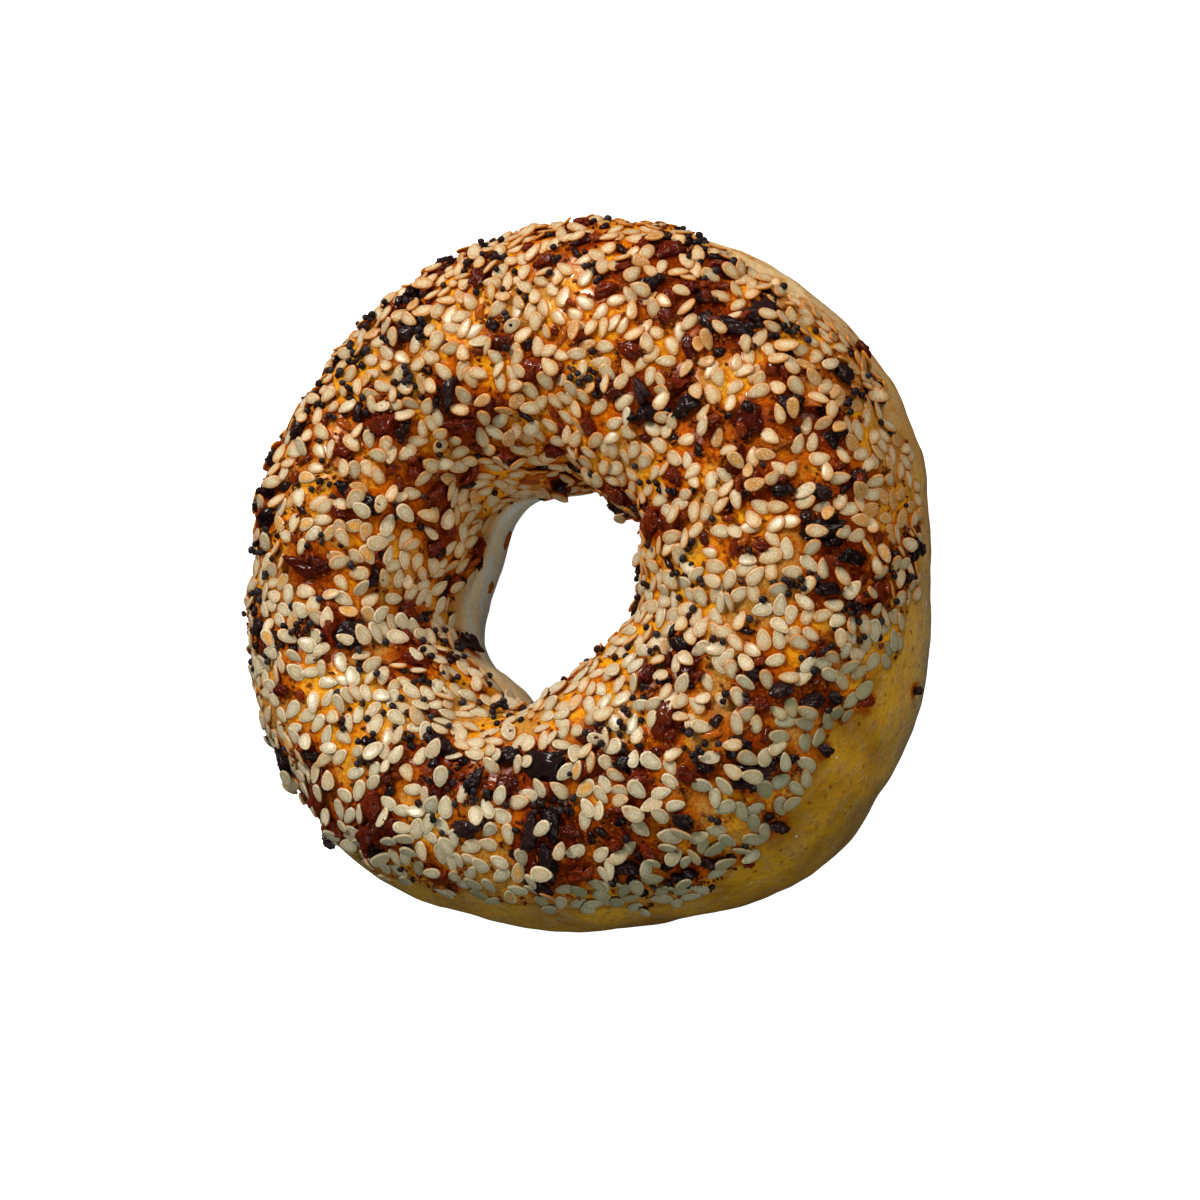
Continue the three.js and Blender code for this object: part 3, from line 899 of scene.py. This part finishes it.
def seed_finish(name, light, warm):
    """Sesame: each seed has its own tint and shade, a pale or amber edge and at times a brown spot, with
    painted light and shade: a tint warmer where the light falls, a ring of painted shade, a pale line of
    painted highlight, an amber edge of painted warm shade, speckles partly of painted highlight and painted
    dull shade on the seeds at the front.
    """
    finish = Finish(name, 0.45)
    tint = finish.attribute("tint")
    rim = finish.attribute("rim")
    grain = finish.noise(0.26 * MM, 4)
    # painted shade in a ring inside the seed's edge
    painted_ring_shade = finish.times(finish.spread(rim, 0.25, 0.8), finish.spread(rim, 0.3, 0.6, 0.3, 0.8))
    # painted highlight on a pale line near the seed's edge
    painted_rim_highlight = finish.times(finish.spread(rim, 0.78, 0.86), finish.spread(rim, 0.88, 0.95, 1, 0))
    # painted warm shade at the seed's edge, strongest on warm seeds
    painted_amber_rim_shade = finish.times(finish.spread(rim, 0.72, 1.04), finish.spread(tint, 0.0, 0.5, 0.1, 1))
    base = finish.paint(
        light,
        # painted light over random warmth: the tint is warmer at the back and on the right
        (tint, warm),
        (finish.attribute("shade"), srgb(176, 138, 86)),
        # the ring of painted shade
        (painted_ring_shade, finish.mix(tint, srgb(188, 166, 118), srgb(208, 134, 38))),
        (finish.spread(grain, 0.42, 0.66, 0, 0.32), srgb(190, 158, 104)),
        # pale speckles, partly the seed's mottling and partly painted highlight
        (finish.spread(grain, 0.36, 0.5, 0.4, 0), srgb(248, 242, 226)),
        (finish.times(painted_rim_highlight, finish.spread(tint, 0, 0.8, 0.85, 0.4)), srgb(242, 234, 212)),
        (painted_amber_rim_shade, srgb(206, 126, 20)),
        # painted shade on the seeds that lie in the shade at the front
        (finish.attribute("dim"), srgb(132, 128, 88)),
        (finish.attribute("spot"), srgb(150, 72, 20)),
    )
    finish.set(Base_Color=base)
    finish.set(Subsurface_Weight=0.5, Subsurface_Radius=(1.0, 0.7, 0.4), Subsurface_Scale=0.3 * MM)
    finish.set(Specular_IOR_Level=0.1, Coat_Weight=0.42, Coat_Roughness=0.23)
    finish.bump(grain, 0.08 * MM, 0.7)
    return finish.material


def poppy_finish(colours):
    """Poppy: blue-black to brown, and finely pitted."""
    finish = Finish("poppy_seed", 0.36)
    tint = finish.attribute("tint")
    pits = finish.add("ShaderNodeTexVoronoi", Scale=1 / (0.16 * MM), Vector=finish.position())
    base = finish.paint(
        tuple(colours.poppy),
        (finish.spread(tint, 0.4, 0.95), srgb(50, 44, 50)),
        (finish.spread(tint, 0.1, 0.35, 1, 0), srgb(50, 22, 14)),
    )
    finish.set(Base_Color=base, Specular_IOR_Level=0.16)
    finish.bump(pits.outputs["Distance"], 0.03 * MM, 0.5)
    return finish.material


def flake_finish(name, dark, light, roughness, see_in):
    """Dried onion: creased, with painted shade darkening its folds, with glossy places and small clear
    specks.
    """
    finish = Finish(name, roughness)
    wrinkle = finish.noise(0.5 * MM, 4, 0.65)
    crease = finish.sum(finish.sum(finish.noise(0.36 * MM, 2), 0.5, "SUBTRACT"), 0, "ABSOLUTE")
    base = finish.paint(
        dark,
        (finish.attribute("tint"), light),
        (finish.spread(wrinkle, 0.5, 0.8, 0, 0.6), light),
        # painted shade in the creases
        (finish.spread(crease, 0.0, 0.05, 0.6, 0), dark),
        (finish.spread(finish.noise(0.3 * MM, 2), 0.62, 0.72, 0, see_in * 2), srgb(206, 92, 18)),
    )
    finish.set(Base_Color=base)
    finish.set(Roughness=finish.spread(wrinkle, 0.35, 0.65, roughness + 0.15, roughness - 0.12))
    finish.set(Subsurface_Weight=see_in, Subsurface_Radius=(1.0, 0.36, 0.08), Subsurface_Scale=0.8 * MM)
    finish.set(Specular_IOR_Level=0.08, Coat_Weight=0.32, Coat_Roughness=0.12)
    rough = finish.sum(finish.times(crease, 4), finish.noise(0.24 * MM, 2))
    finish.bump(finish.sum(rough, wrinkle), 0.3 * MM, 1.0)
    return finish.material


# ---- what the operators share while the script runs ----

LAID = {}


def crust_map():
    """The grid that all toppings are laid on, made once."""
    if "crust" not in LAID:
        LAID["crust"] = CrustMap(bpy.context.scene.bagel_sizes)
    return LAID["crust"]


# ---- toppings ----

def lay_marked_flakes(crust, marks, thickness):
    """Lays flakes at their marks (column, row, length, width, heading)."""
    places = []
    for column, row, length, width, heading in marks:
        cell = crust.cell_at_pixel(column, row)
        turned = heading_in_frame(crust, cell, math.radians(heading))
        half_length, half_width = (size * MM * MARK_GROWTH / 2 for size in (length, width))
        place = settle(crust, cell, turned, half_length, half_width, thickness, FLAKE_SUNK, MOST_LEAN)
        lay_down(crust, place)
        crust.flaked[place["near"]] |= place["inside"]
        places.append(place)
    return places


def heading_in_frame(crust, cell, angle):
    """The heading on the crust that looks like an angle from the right, in the camera's frame."""
    right, up, _ = (np.array(axis) for axis in camera_axes())
    wanted = math.cos(angle) * right + math.sin(angle) * up
    side = crust.side[cell]
    over = np.cross(crust.normal[cell], side)
    return math.atan2(wanted @ over, wanted @ side)


def lay_scattered(crust, random, weight, count, length, width, thickness, sunk, most_rest):
    """Lays flat toppings at random cells off the sesame. length and width are (low, high)."""
    places = []
    for cell in draw_cells(random, weight, count * SCATTERED_TRIES):
        if len(places) == count:
            break
        long = random.uniform(*length) / 2
        if crust.covered[cell] or (long < LARGE_CHIP and crust.flaked[cell]):
            continue
        wide = min(random.uniform(*width) / 2, long)
        place = settle(crust, cell, random.uniform(0, FULL_TURN), long, wide, thickness, sunk, MOST_LEAN)
        if place and place["rest"] < most_rest:
            lay_down(crust, place)
            if long > LARGE_CHIP:
                crust.flaked[place["near"]] |= place["inside"]
            places.append(place)
    return places


def lay_sesame(crust, random, count, mean_length, bare):
    """Lays sesame seeds side by side, and some of them over others."""
    drifts = 0.5 + smooth_step(-0.9, 0.9, soft_noise(crust.point, *SESAME_PATTERN))
    drifts = drifts + 0.35 * crust.point[..., 1] / HALF_WIDTH
    weight = crust.area * crust.seeded * (1 - 0.93 * bare) * drifts
    places = []
    for cell in draw_cells(random, weight, count * SESAME_TRIES):
        if len(places) == count:
            break
        half_length = mean_length / 2 * random.normal(1, 0.07)
        half_width = half_length * random.uniform(*SESAME_WIDTH)
        sunk = random.uniform(*SESAME_SUNK) * MM
        heading = random.uniform(0, FULL_TURN)
        place = settle(crust, cell, heading, half_length, half_width, SESAME_THICKNESS, sunk, MOST_LEAN)
        if place is None or place["rest"] > SESAME_MOST_REST:
            continue
        over = crust.covered[place["near"]][place["inside"]].mean()
        on_flake = crust.flaked[place["near"]][place["inside"]].mean()
        if on_flake > FREE_ON_FLAKE and random.random() > KEPT_ON_FLAKE:
            continue
        if over > MOST_OVERLAP or (over > FREE_OVERLAP and random.random() > 0.5):
            continue
        lay_down(crust, place)
        crust.covered[place["near"]] |= place["inside"]
        places.append(place)
    return places


def lay_poppies(crust, random, count, mean_width, clusters, strays):
    """Lays poppy seeds, most of them in clusters and in the low places between the sesame."""
    patches = smooth_step(0.35, 1.3, soft_noise(crust.point, *POPPY_PATTERN))
    weight = crust.seeded * (0.06 + 0.5 * patches * ~crust.seen + 2.4 * clusters)
    weight = crust.area * (weight + 0.7 * strays)
    places = []
    for cell in draw_cells(random, weight, count * POPPY_TRIES):
        if len(places) == count:
            break
        half = mean_width / 2 * random.normal(1, 0.1)
        heading = random.uniform(0, FULL_TURN)
        place = settle(
            crust, cell, heading, half * POPPY_LENGTH, half, half * POPPY_THICKNESS, POPPY_SUNK, POPPY_LEAN
        )
        if place is None or place["rest"] > POPPY_MOST_REST:
            continue
        if crust.covered[place["cell"]] and random.random() > POPPIES_KEPT_ON_SESAME:
            continue
        if crust.flaked[place["cell"]] and random.random() > POPPIES_KEPT_ON_FLAKE:
            continue
        lay_down(crust, place)
        places.append(place)
    return places


def sesame_shapes(random, places):
    """Teardrop seeds with a rounded rim, each of its own proportions, and how near its rim a vertex is."""
    ball, faces = ball_shape(rings=6, segments=12)
    radius = np.hypot(ball[:, 0], ball[:, 1])
    direction = ball[:, :2] / np.maximum(radius, 1e-9)[:, None]
    pad = radius ** 0.62
    plan = direction * pad[:, None]
    swell = signed_power(ball[:, 2], 0.62)
    shapes = []
    for place in places:
        tip = random.uniform(0.08, 0.3)
        dish = random.uniform(0.05, 0.3)
        bend = random.normal(0, 0.08)
        x = plan[:, 0] * (1 + 0.06 * plan[:, 0])
        pinch = 1 - tip * plan[:, 0] - 0.14 * smooth_step(0.6, 1.0, plan[:, 0])
        y = plan[:, 1] * pinch / (1 + tip * 0.25) + bend * (1 - plan[:, 0] ** 2)
        z = swell * (1 - dish * (1 - pad) ** 0.8)
        half_length, half_width = place["half"]
        shapes.append(np.stack([x * half_length, y * half_width, z * place["thickness"] / 2], axis=-1))
    rim = np.where(ball[:, 2] < -0.05, 2 - pad, pad)
    return np.stack(shapes), faces, rim, plan


def lit_seed_tints(random, places):
    """How warm each seed is painted: random, with painted light that makes seeds warmest at the back and on
    the right and coolest in the shade at the front.
    """
    centres = np.array([place["centre"] for place in places]) / HALF_WIDTH
    # painted light: warmer toward the back and the right, cooler in the shade at the front
    lit_warmth = 0.42 + 0.5 * centres[:, 1] + 0.15 * centres[:, 0]
    return np.clip(lit_warmth + random.normal(0, 0.18, len(places)), 0, 1)


def broken_ball(random, ball, cuts, jag, wrinkle):
    """A chip: a ball broken off along a few upright planes, with creases over it and a slight curl."""
    seed = int(random.integers(1 << 30))
    shape = ball * (1 + jag * soft_noise(ball * (1, 1, 0.2), 1.6, seed))[:, None]
    for _ in range(cuts):
        turn = random.uniform(0, FULL_TURN)
        plane = unit(np.array([math.cos(turn), math.sin(turn), random.normal(0, 0.3)]))
        past = np.maximum(shape @ plane - random.uniform(0.5, 0.85), 0)
        shape = shape - 0.9 * past[:, None] * plane
    creases = 0.4 - np.abs(soft_noise(ball * (1, 1, 0.5), 1.1, seed + 1))
    pits = soft_noise(ball, 0.4, seed + 2)
    shape = shape * (1 + wrinkle * creases + 0.3 * wrinkle * pits)[:, None]
    shape[:, 2] += 0.5 * wrinkle * soft_noise(ball * (1, 1, 0), 1.3, seed + 3)
    return shape


def rough_shapes(random, places, fineness, cuts, jag, wrinkle, variants=14):
    """Chips from a few variants of a broken ball, each placed at its own size."""
    ball, faces = ball_shape(fineness=fineness)
    kinds = [broken_ball(random, ball, cuts, jag, wrinkle) for _ in range(variants)]
    shapes = []
    for place in places:
        half_length, half_width = place["half"]
        size = np.array([half_length, half_width, place["thickness"] / 2])
        shapes.append(kinds[int(random.integers(variants))] * size)
    return np.stack(shapes), faces


def build_crust():
    """Spins the section round, moves its vertices onto the lumpy ring and marks seeded and stained crust."""
    sizes = bpy.context.scene.bagel_sizes
    shape = bmesh.new()
    circle = bmesh.ops.create_circle(shape, segments=STEPS_IN_SECTION, radius=1)
    upright = Matrix.Rotation(math.pi / 2, 3, "X")
    bmesh.ops.rotate(shape, verts=circle["verts"], cent=(0, 0, 0), matrix=upright)
    bmesh.ops.translate(shape, verts=circle["verts"], vec=(PLAIN_RADIUS, 0, 0))
    bmesh.ops.spin(
        shape, geom=shape.verts[:] + shape.edges[:], cent=(0, 0, 0), axis=(0, 0, 1),
        angle=FULL_TURN, steps=STEPS_ROUND, use_merge=True,
    )
    bmesh.ops.recalc_face_normals(shape, faces=shape.faces)
    mesh = bpy.data.meshes.new("crust")
    shape.to_mesh(mesh)
    shape.free()
    torus = np.empty(len(mesh.vertices) * 3)
    mesh.vertices.foreach_get("co", torus)
    torus = torus.reshape(-1, 3)
    around = np.arctan2(torus[:, 1], torus[:, 0])
    section = np.arctan2(torus[:, 2], np.hypot(torus[:, 0], torus[:, 1]) - PLAIN_RADIUS)
    points = crust_points(sizes, around, section)
    mesh.vertices.foreach_set("co", points.ravel())
    degrees = np.degrees(section)
    degrees = np.where(degrees < -90, degrees + 360, degrees)
    for label, value in crust_values(points, around, degrees).items():
        store_values(mesh, label, value)
    shade_smooth(mesh)
    mesh.update()
    return mesh


def crust_values(points, around, degrees):
    """What the crust's finish reads at points of the crust."""
    end = round_trip(SEEDED_TO, around)
    inner = smooth_step(end, end + 10, degrees) * (1 - smooth_step(225, 255, degrees))
    drawn_out = np.stack([points[:, 2] * 2.2, np.cos(around) * 9 * MM, np.sin(around) * 9 * MM], axis=-1)
    return {
        "seeded": seeded_share(around, degrees, points),
        "inner": inner,
        "streak": 0.5 + 0.5 * soft_noise(drawn_out, *STREAK_PATTERN),
        "stain": stain_share(points),
        "wet": wet_share(points),
        "glaze": glaze_and_light_share(points),
        "painted_reflection": painted_reflection_share(around, degrees),
        "pale_and_lit": pale_and_lit_share(around, degrees),
        "toast_and_shade": toast_and_shade_share(around, degrees),
        "far": far_share(around),
    }


def build_pools(crust, seeds):
    """Low pools of glaze round the seeds that lie on the crust, which thin out onto it, darker next to each
    seed with painted contact shade.
    """
    ball, faces = ball_shape(rings=4, segments=12)
    radius = np.hypot(ball[:, 0], ball[:, 1])
    pad = np.sqrt(radius)
    plan = ball[:, :2] / np.maximum(radius, 1e-9)[:, None] * pad[:, None]
    # The ball's upper rings climb to POOL_RISE, and its lower ones stay under the crust
    top_ring = pad[ball[:, 2] > 0.1].max()
    rise = np.where(ball[:, 2] > -0.1, POOL_RISE * (1 - pad ** 2) / (1 - top_ring ** 2), -POOL_RISE)
    rise = np.minimum(rise, POOL_RISE) - POOL_SINK
    shapes, rounds, overs = [], [], []
    for place in seeds:
        half_length, half_width = place["half"]
        near = crust.window(place["cell"], half_length + POOL_REACH)
        offset = crust.point[near] - crust.point[place["cell"]]
        x, y = offset @ place["axes"][0], offset @ place["axes"][1]
        wanted = plan * (half_length + POOL_REACH, half_width + POOL_REACH)
        far = (x.ravel()[None, :] - wanted[:, :1]) ** 2 + (y.ravel()[None, :] - wanted[:, 1:]) ** 2
        nearest = far.argmin(axis=1)
        row, column = np.unravel_index(nearest, x.shape)
        i, j = near[0].ravel()[row], near[1].ravel()[column]
        slip = wanted - np.stack([x.ravel()[nearest], y.ravel()[nearest]], axis=-1)
        shapes.append(crust.point[i, j] + crust.normal[i, j] * rise[:, None] + slip @ place["axes"][:2])
        rounds.append(i)
        overs.append(j)
    shapes = np.stack(shapes)
    points = shapes.reshape(-1, 3)
    around, degrees = crust.around[np.concatenate(rounds)], crust.section[np.concatenate(overs)]
    values = crust_values(points, around, degrees)
    # painted contact shade with the pooled glaze: darker and deeper baked next to the seed, fading to the
    # pool's edge
    contact_shade = np.tile(smooth_step(1.0, 0.8, pad), len(seeds))
    values["stain"] = values["stain"] + POOL_STAIN_AND_SHADE * contact_shade
    values["glaze"] = values["glaze"] + POOL_GLAZE * contact_shade
    still = {"axes": np.eye(3), "centre": np.zeros(3)}
    return joined_mesh("glaze_pools", shapes, faces, [still] * len(seeds), values)


def stain_share(points):
    """How much the oil of the flakes has stained each point."""
    stain = np.zeros(len(points))
    for place, strength, reach in LAID["stains"]:
        far = ((points - place["centre"]) ** 2).sum(axis=-1)
        spread = (max(place["half"]) + reach) ** 2
        stain += strength * np.exp(-far / spread)
    for centre, reach in LAID["soaked"]:
        far = ((points - centre) ** 2).sum(axis=-1)
        stain += SOAKED_STAIN * np.exp(-far / reach ** 2)
    return np.minimum(stain, 2)


def wet_share(points):
    """How much each point lies in a wet patch, from 0 to 1."""
    wet = np.zeros(len(points))
    for centre, reach in LAID["wet"]:
        wet = np.maximum(wet, np.exp(-((points - centre) ** 2).sum(axis=-1) / reach ** 2))
    return wet


# ---- operators ----

class BAGEL_OT_toppings(bpy.types.Operator):
    """Lay the flakes, seeds and crumbs on the crown"""

    bl_idname = "bagel.toppings"
    bl_label = "Lay Toppings"

    def execute(self, context):
        sizes = context.scene.bagel_sizes
        crust = crust_map()
        random = np.random.default_rng(TOPPINGS_DRAW)
        bare = crust.near_pixels(BARE_PATCHES)
        clusters = crust.near_pixels(POPPY_CLUSTERS)
        strays = crust.near_pixels(STRAY_POPPIES)
        marks = [(column, row, 20) for column, row, *_ in BLACK_FLAKES + BROWN_FLAKES]
        drifts = smooth_step(0.2, 1.5, soft_noise(crust.point, *FLAKE_PATTERN))
        gathered = np.where(crust.seen, crust.near_pixels(marks), drifts)
        flaky = crust.area * crust.seeded * (0.05 + gathered)
        LAID["black"] = lay_marked_flakes(crust, BLACK_FLAKES, BLACK_THICKNESS)
        LAID["brown"] = lay_marked_flakes(crust, BROWN_FLAKES, BROWN_THICKNESS)
        LAID["amber"] = lay_marked_flakes(crust, AMBER_FLAKES, AMBER_THICKNESS)
        hidden = flaky * (crust.facing < -0.12)
        for kind in ("black", "brown"):
            LAID[kind] += lay_scattered(crust, random, hidden, HIDDEN_FLAKE_COUNT, *HIDDEN_FLAKES)
        for kind in ("small_black", "small_brown"):
            LAID[kind] = lay_scattered(crust, random, flaky, sizes.flake_count // 2, *SMALL_FLAKES)
        poppies = lay_poppies(crust, random, sizes.poppy_count // 2, sizes.poppy_width, clusters, strays)
        LAID["sesame"] = lay_sesame(crust, random, sizes.sesame_count, sizes.sesame_length, bare)
        missing = sizes.poppy_count - len(poppies)
        LAID["poppy"] = poppies + lay_poppies(crust, random, missing, sizes.poppy_width, clusters, strays)
        crumbly = crust.area * crust.seeded * (0.04 + flaky / flaky.max())
        LAID["crumb"] = lay_scattered(crust, random, crumbly, sizes.crumb_count, *CRUMBS)
        for kind, patches in (("soaked", SOAKED_PATCHES), ("wet", WET_PATCHES)):
            LAID[kind] = [
                (crust.point[crust.cell_at_pixel(column, row)], radius * PIXEL_SIZE)
                for column, row, radius in patches
            ]
        LAID["stains"] = [(place, *LARGE_STAIN) for place in LAID["black"] + LAID["brown"]]
        LAID["stains"] += [(place, *SMALL_STAIN) for place in LAID["small_black"] + LAID["small_brown"]]
        return {"FINISHED"}


class BAGEL_OT_crust(bpy.types.Operator):
    """Build the bread ring with its crust and the glaze that pools round the seeds"""

    bl_idname = "bagel.crust"
    bl_label = "Build Crust"

    def execute(self, context):
        mesh = build_crust()
        piece = link_piece("crust", mesh, crust_finish(context.scene.bagel_colours))
        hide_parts(NODE)
        seeds = [place for place in LAID["sesame"] if place["rest"] < POOLED_REST]
        link_piece("glaze_pools", build_pools(crust_map(), seeds), piece.data.materials[0])
        return {"FINISHED"}


class BAGEL_OT_sesame(bpy.types.Operator):
    """Build the pale and the toasted sesame seeds"""

    bl_idname = "bagel.sesame"
    bl_label = "Build Sesame Seeds"

    def execute(self, context):
        colours = context.scene.bagel_colours
        random = np.random.default_rng(SESAME_DRAW)
        toasted = TOASTED_ANYWHERE + TOASTED_IN_PATCH * crust_map().near_pixels(TOASTED_PATCHES)
        # painted shade: the seeds along the front and the front right are painted dull and greenish
        seed_shade_paint = SEED_SHADE_STRENGTH * crust_map().near_pixels(SHADED_SEED_PATCHES)
        golden = np.array([random.random() < toasted[place["cell"]] for place in LAID["sesame"]])
        kinds = (
            ("sesame_seeds", ~golden, "sesame_seed", tuple(colours.sesame), srgb(230, 204, 158)),
            ("toasted_sesame_seeds", golden, "toasted_sesame", tuple(colours.toasted), srgb(190, 124, 42)),
        )
        for name, chosen, slot, light, warm in kinds:
            places = [place for place, take in zip(LAID["sesame"], chosen) if take]
            shapes, faces, rim, plan = sesame_shapes(random, places)
            near_tip = np.exp(-((plan[:, 0] - SPOT_AT) ** 2 + plan[:, 1] ** 2) / SPOT_SPREAD)
            has_spot = random.random(len(places)) < SPOTTED_SHARE
            spotted = np.where(has_spot, random.uniform(*SPOT_DEPTH, len(places)), 0)
            values = {
                # tint: random warmth with painted light over it
                "tint": lit_seed_tints(random, places),
                "shade": np.clip(random.normal(*SESAME_SHADE, len(places)), 0, SESAME_MOST_SHADE),
                # painted shade for each seed
                "dim": np.array([seed_shade_paint[place["cell"]] for place in places]),
                "rim": np.tile(rim, len(places)),
                "spot": (spotted[:, None] * near_tip[None, :]).ravel(),
            }
            mesh = joined_mesh(name, shapes, faces, places, values)
            link_piece(name, mesh, seed_finish(name, light, warm))
        return {"FINISHED"}


class BAGEL_OT_poppy(bpy.types.Operator):
    """Build the poppy seeds"""

    bl_idname = "bagel.poppy"
    bl_label = "Build Poppy Seeds"

    def execute(self, context):
        random = np.random.default_rng(POPPY_DRAW)
        places = LAID["poppy"]
        shapes, faces = rough_shapes(random, places, 2, 0, 0.06, 0.05)
        values = {"tint": random.random(len(places))}
        mesh = joined_mesh("poppy_seeds", shapes, faces, places, values)
        link_piece("poppy_seeds", mesh, poppy_finish(context.scene.bagel_colours))
        return {"FINISHED"}


class BAGEL_OT_flakes(bpy.types.Operator):
    """Build the onion flakes and the crumbs"""

    bl_idname = "bagel.flakes"
    bl_label = "Build Flakes"

    def execute(self, context):
        colours = context.scene.bagel_colours
        random = np.random.default_rng(FLAKE_DRAW)
        black, brown, amber = (tuple(c) for c in (colours.black_flake, colours.brown_flake, colours.amber))
        # Piece, places, fineness, slot, dark and light colour, roughness and how far light enters
        kinds = (
            ("black_flakes", "black", 4, "dark_flake", black, srgb(64, 38, 38), 0.42, 0.02),
            ("brown_flakes", "brown", 4, "brown_flake", srgb(84, 16, 4), brown, 0.36, 0.25),
            ("black_chips", "small_black", 2, "dark_flake", black, srgb(60, 30, 24), 0.42, 0.02),
            ("brown_chips", "small_brown", 2, "brown_flake", srgb(86, 20, 4), srgb(170, 66, 8), 0.34, 0.25),
            ("amber_flakes", "amber", 3, "brown_flake", srgb(180, 80, 8), amber, 0.3, 0.4),
            ("crumbs", "crumb", 1, "brown_flake", srgb(76, 22, 7), srgb(196, 98, 14), 0.35, 0.3),
        )
        for name, laid, fineness, slot, dark, light, roughness, see_in in kinds:
            places = LAID[laid]
            material = flake_finish(name, dark, light, roughness, see_in)
            shapes, faces = rough_shapes(random, places, fineness, 4, 0.2, 0.26)
            mesh = joined_mesh(name, shapes, faces, places, {"tint": random.random(len(places))})
            link_piece(name, mesh, material)
        return {"FINISHED"}


class BAGEL_OT_stage(bpy.types.Operator):
    """Set the floor, the lights and the camera"""

    bl_idname = "bagel.stage"
    bl_label = "Set Stage"

    def execute(self, context):
        floor_shape = bmesh.new()
        bmesh.ops.create_grid(floor_shape, x_segments=1, y_segments=1, size=FLOOR_REACH)
        mesh = bpy.data.meshes.new("floor")
        floor_shape.to_mesh(mesh)
        floor_shape.free()
        finish = Finish("floor_paper", 0.7)
        tone = finish.noise(0.4, 2)
        finish.set(Base_Color=finish.mix(tone, srgb(246, 246, 247), srgb(250, 250, 250)))
        finish.set(Emission_Color=FLOOR_GLOW, Emission_Strength=1.0)
        mesh.materials.append(finish.material)
        floor = bpy.data.objects.new("floor", mesh)
        context.scene.collection.objects.link(floor)
        floor.location.z = -FLOOR_DROP
        floor.visible_diffuse = False
        floor.visible_glossy = False
        for lamp in LAMPS:
            add_lamp(*lamp)
        world = bpy.data.worlds.new("studio")
        world.use_nodes = True
        background = world.node_tree.nodes["Background"]
        background.inputs["Color"].default_value = WORLD_COLOUR
        background.inputs["Strength"].default_value = WORLD_STRENGTH
        context.scene.world = world
        context.scene.view_settings.view_transform = "Standard"
        context.scene.view_settings.look = "None"
        add_camera()
        return {"FINISHED"}


def add_lamp(name, place, size, power, colour):
    """A round lamp that points at the bagel."""
    light = bpy.data.lights.new(name, "AREA")
    light.shape = "DISK"
    light.size = size
    light.energy = power
    light.color = colour
    lamp = bpy.data.objects.new(name, light)
    lamp.location = place
    lamp.rotation_euler = (Vector((0, 0, AIM_HEIGHT)) - Vector(place)).to_track_quat("-Z", "Y").to_euler()
    bpy.context.scene.collection.objects.link(lamp)


def add_camera():
    """The camera, whose frame is FRAME_PIXELS wide and shows the aim at AIM_PIXEL."""
    right, up, backward = camera_axes()
    lens = bpy.data.cameras.new("camera")
    lens.sensor_width = 36
    frame_width = FRAME_PIXELS * PIXEL_SIZE
    lens.lens = lens.sensor_width * CAMERA_DISTANCE / frame_width
    lens.shift_x = (FRAME_PIXELS / 2 - AIM_PIXEL[0]) / FRAME_PIXELS
    lens.shift_y = (AIM_PIXEL[1] - FRAME_PIXELS / 2) / FRAME_PIXELS
    lens.clip_start = 0.01
    camera = bpy.data.objects.new("camera", lens)
    place = camera_aim() + backward * CAMERA_DISTANCE
    turn = Matrix((right, up, backward)).transposed().to_4x4()
    camera.matrix_world = Matrix.Translation(place) @ turn
    bpy.context.scene.collection.objects.link(camera)
    bpy.context.scene.camera = camera


class BAGEL_PT_panel(bpy.types.Panel):
    """Lists the steps that build the bagel"""

    bl_idname = "BAGEL_PT_panel"
    bl_label = "Everything Bagel"
    bl_space_type = "VIEW_3D"
    bl_region_type = "UI"
    bl_category = "Bagel"

    def draw(self, context):
        for group in (context.scene.bagel_sizes, context.scene.bagel_colours):
            for label in group.__annotations__:
                self.layout.prop(group, label)
        for operator in OPERATORS:
            self.layout.operator(operator.bl_idname)


OPERATORS = (
    BAGEL_OT_toppings, BAGEL_OT_crust, BAGEL_OT_sesame, BAGEL_OT_poppy, BAGEL_OT_flakes, BAGEL_OT_stage,
)
CLASSES = (BagelSizes, BagelColours, *OPERATORS, BAGEL_PT_panel)


def register():
    for cls in CLASSES:
        bpy.utils.register_class(cls)
    bpy.types.Scene.bagel_sizes = PointerProperty(type=BagelSizes)
    bpy.types.Scene.bagel_colours = PointerProperty(type=BagelColours)


def unregister():
    del bpy.types.Scene.bagel_colours
    del bpy.types.Scene.bagel_sizes
    for cls in reversed(CLASSES):
        bpy.utils.unregister_class(cls)


def main():
    register()
    bpy.ops.bagel.toppings()
    bpy.ops.bagel.crust()
    bpy.ops.bagel.sesame()
    bpy.ops.bagel.poppy()
    bpy.ops.bagel.flakes()
    bpy.ops.bagel.stage()


if __name__ == "__main__":
    main()
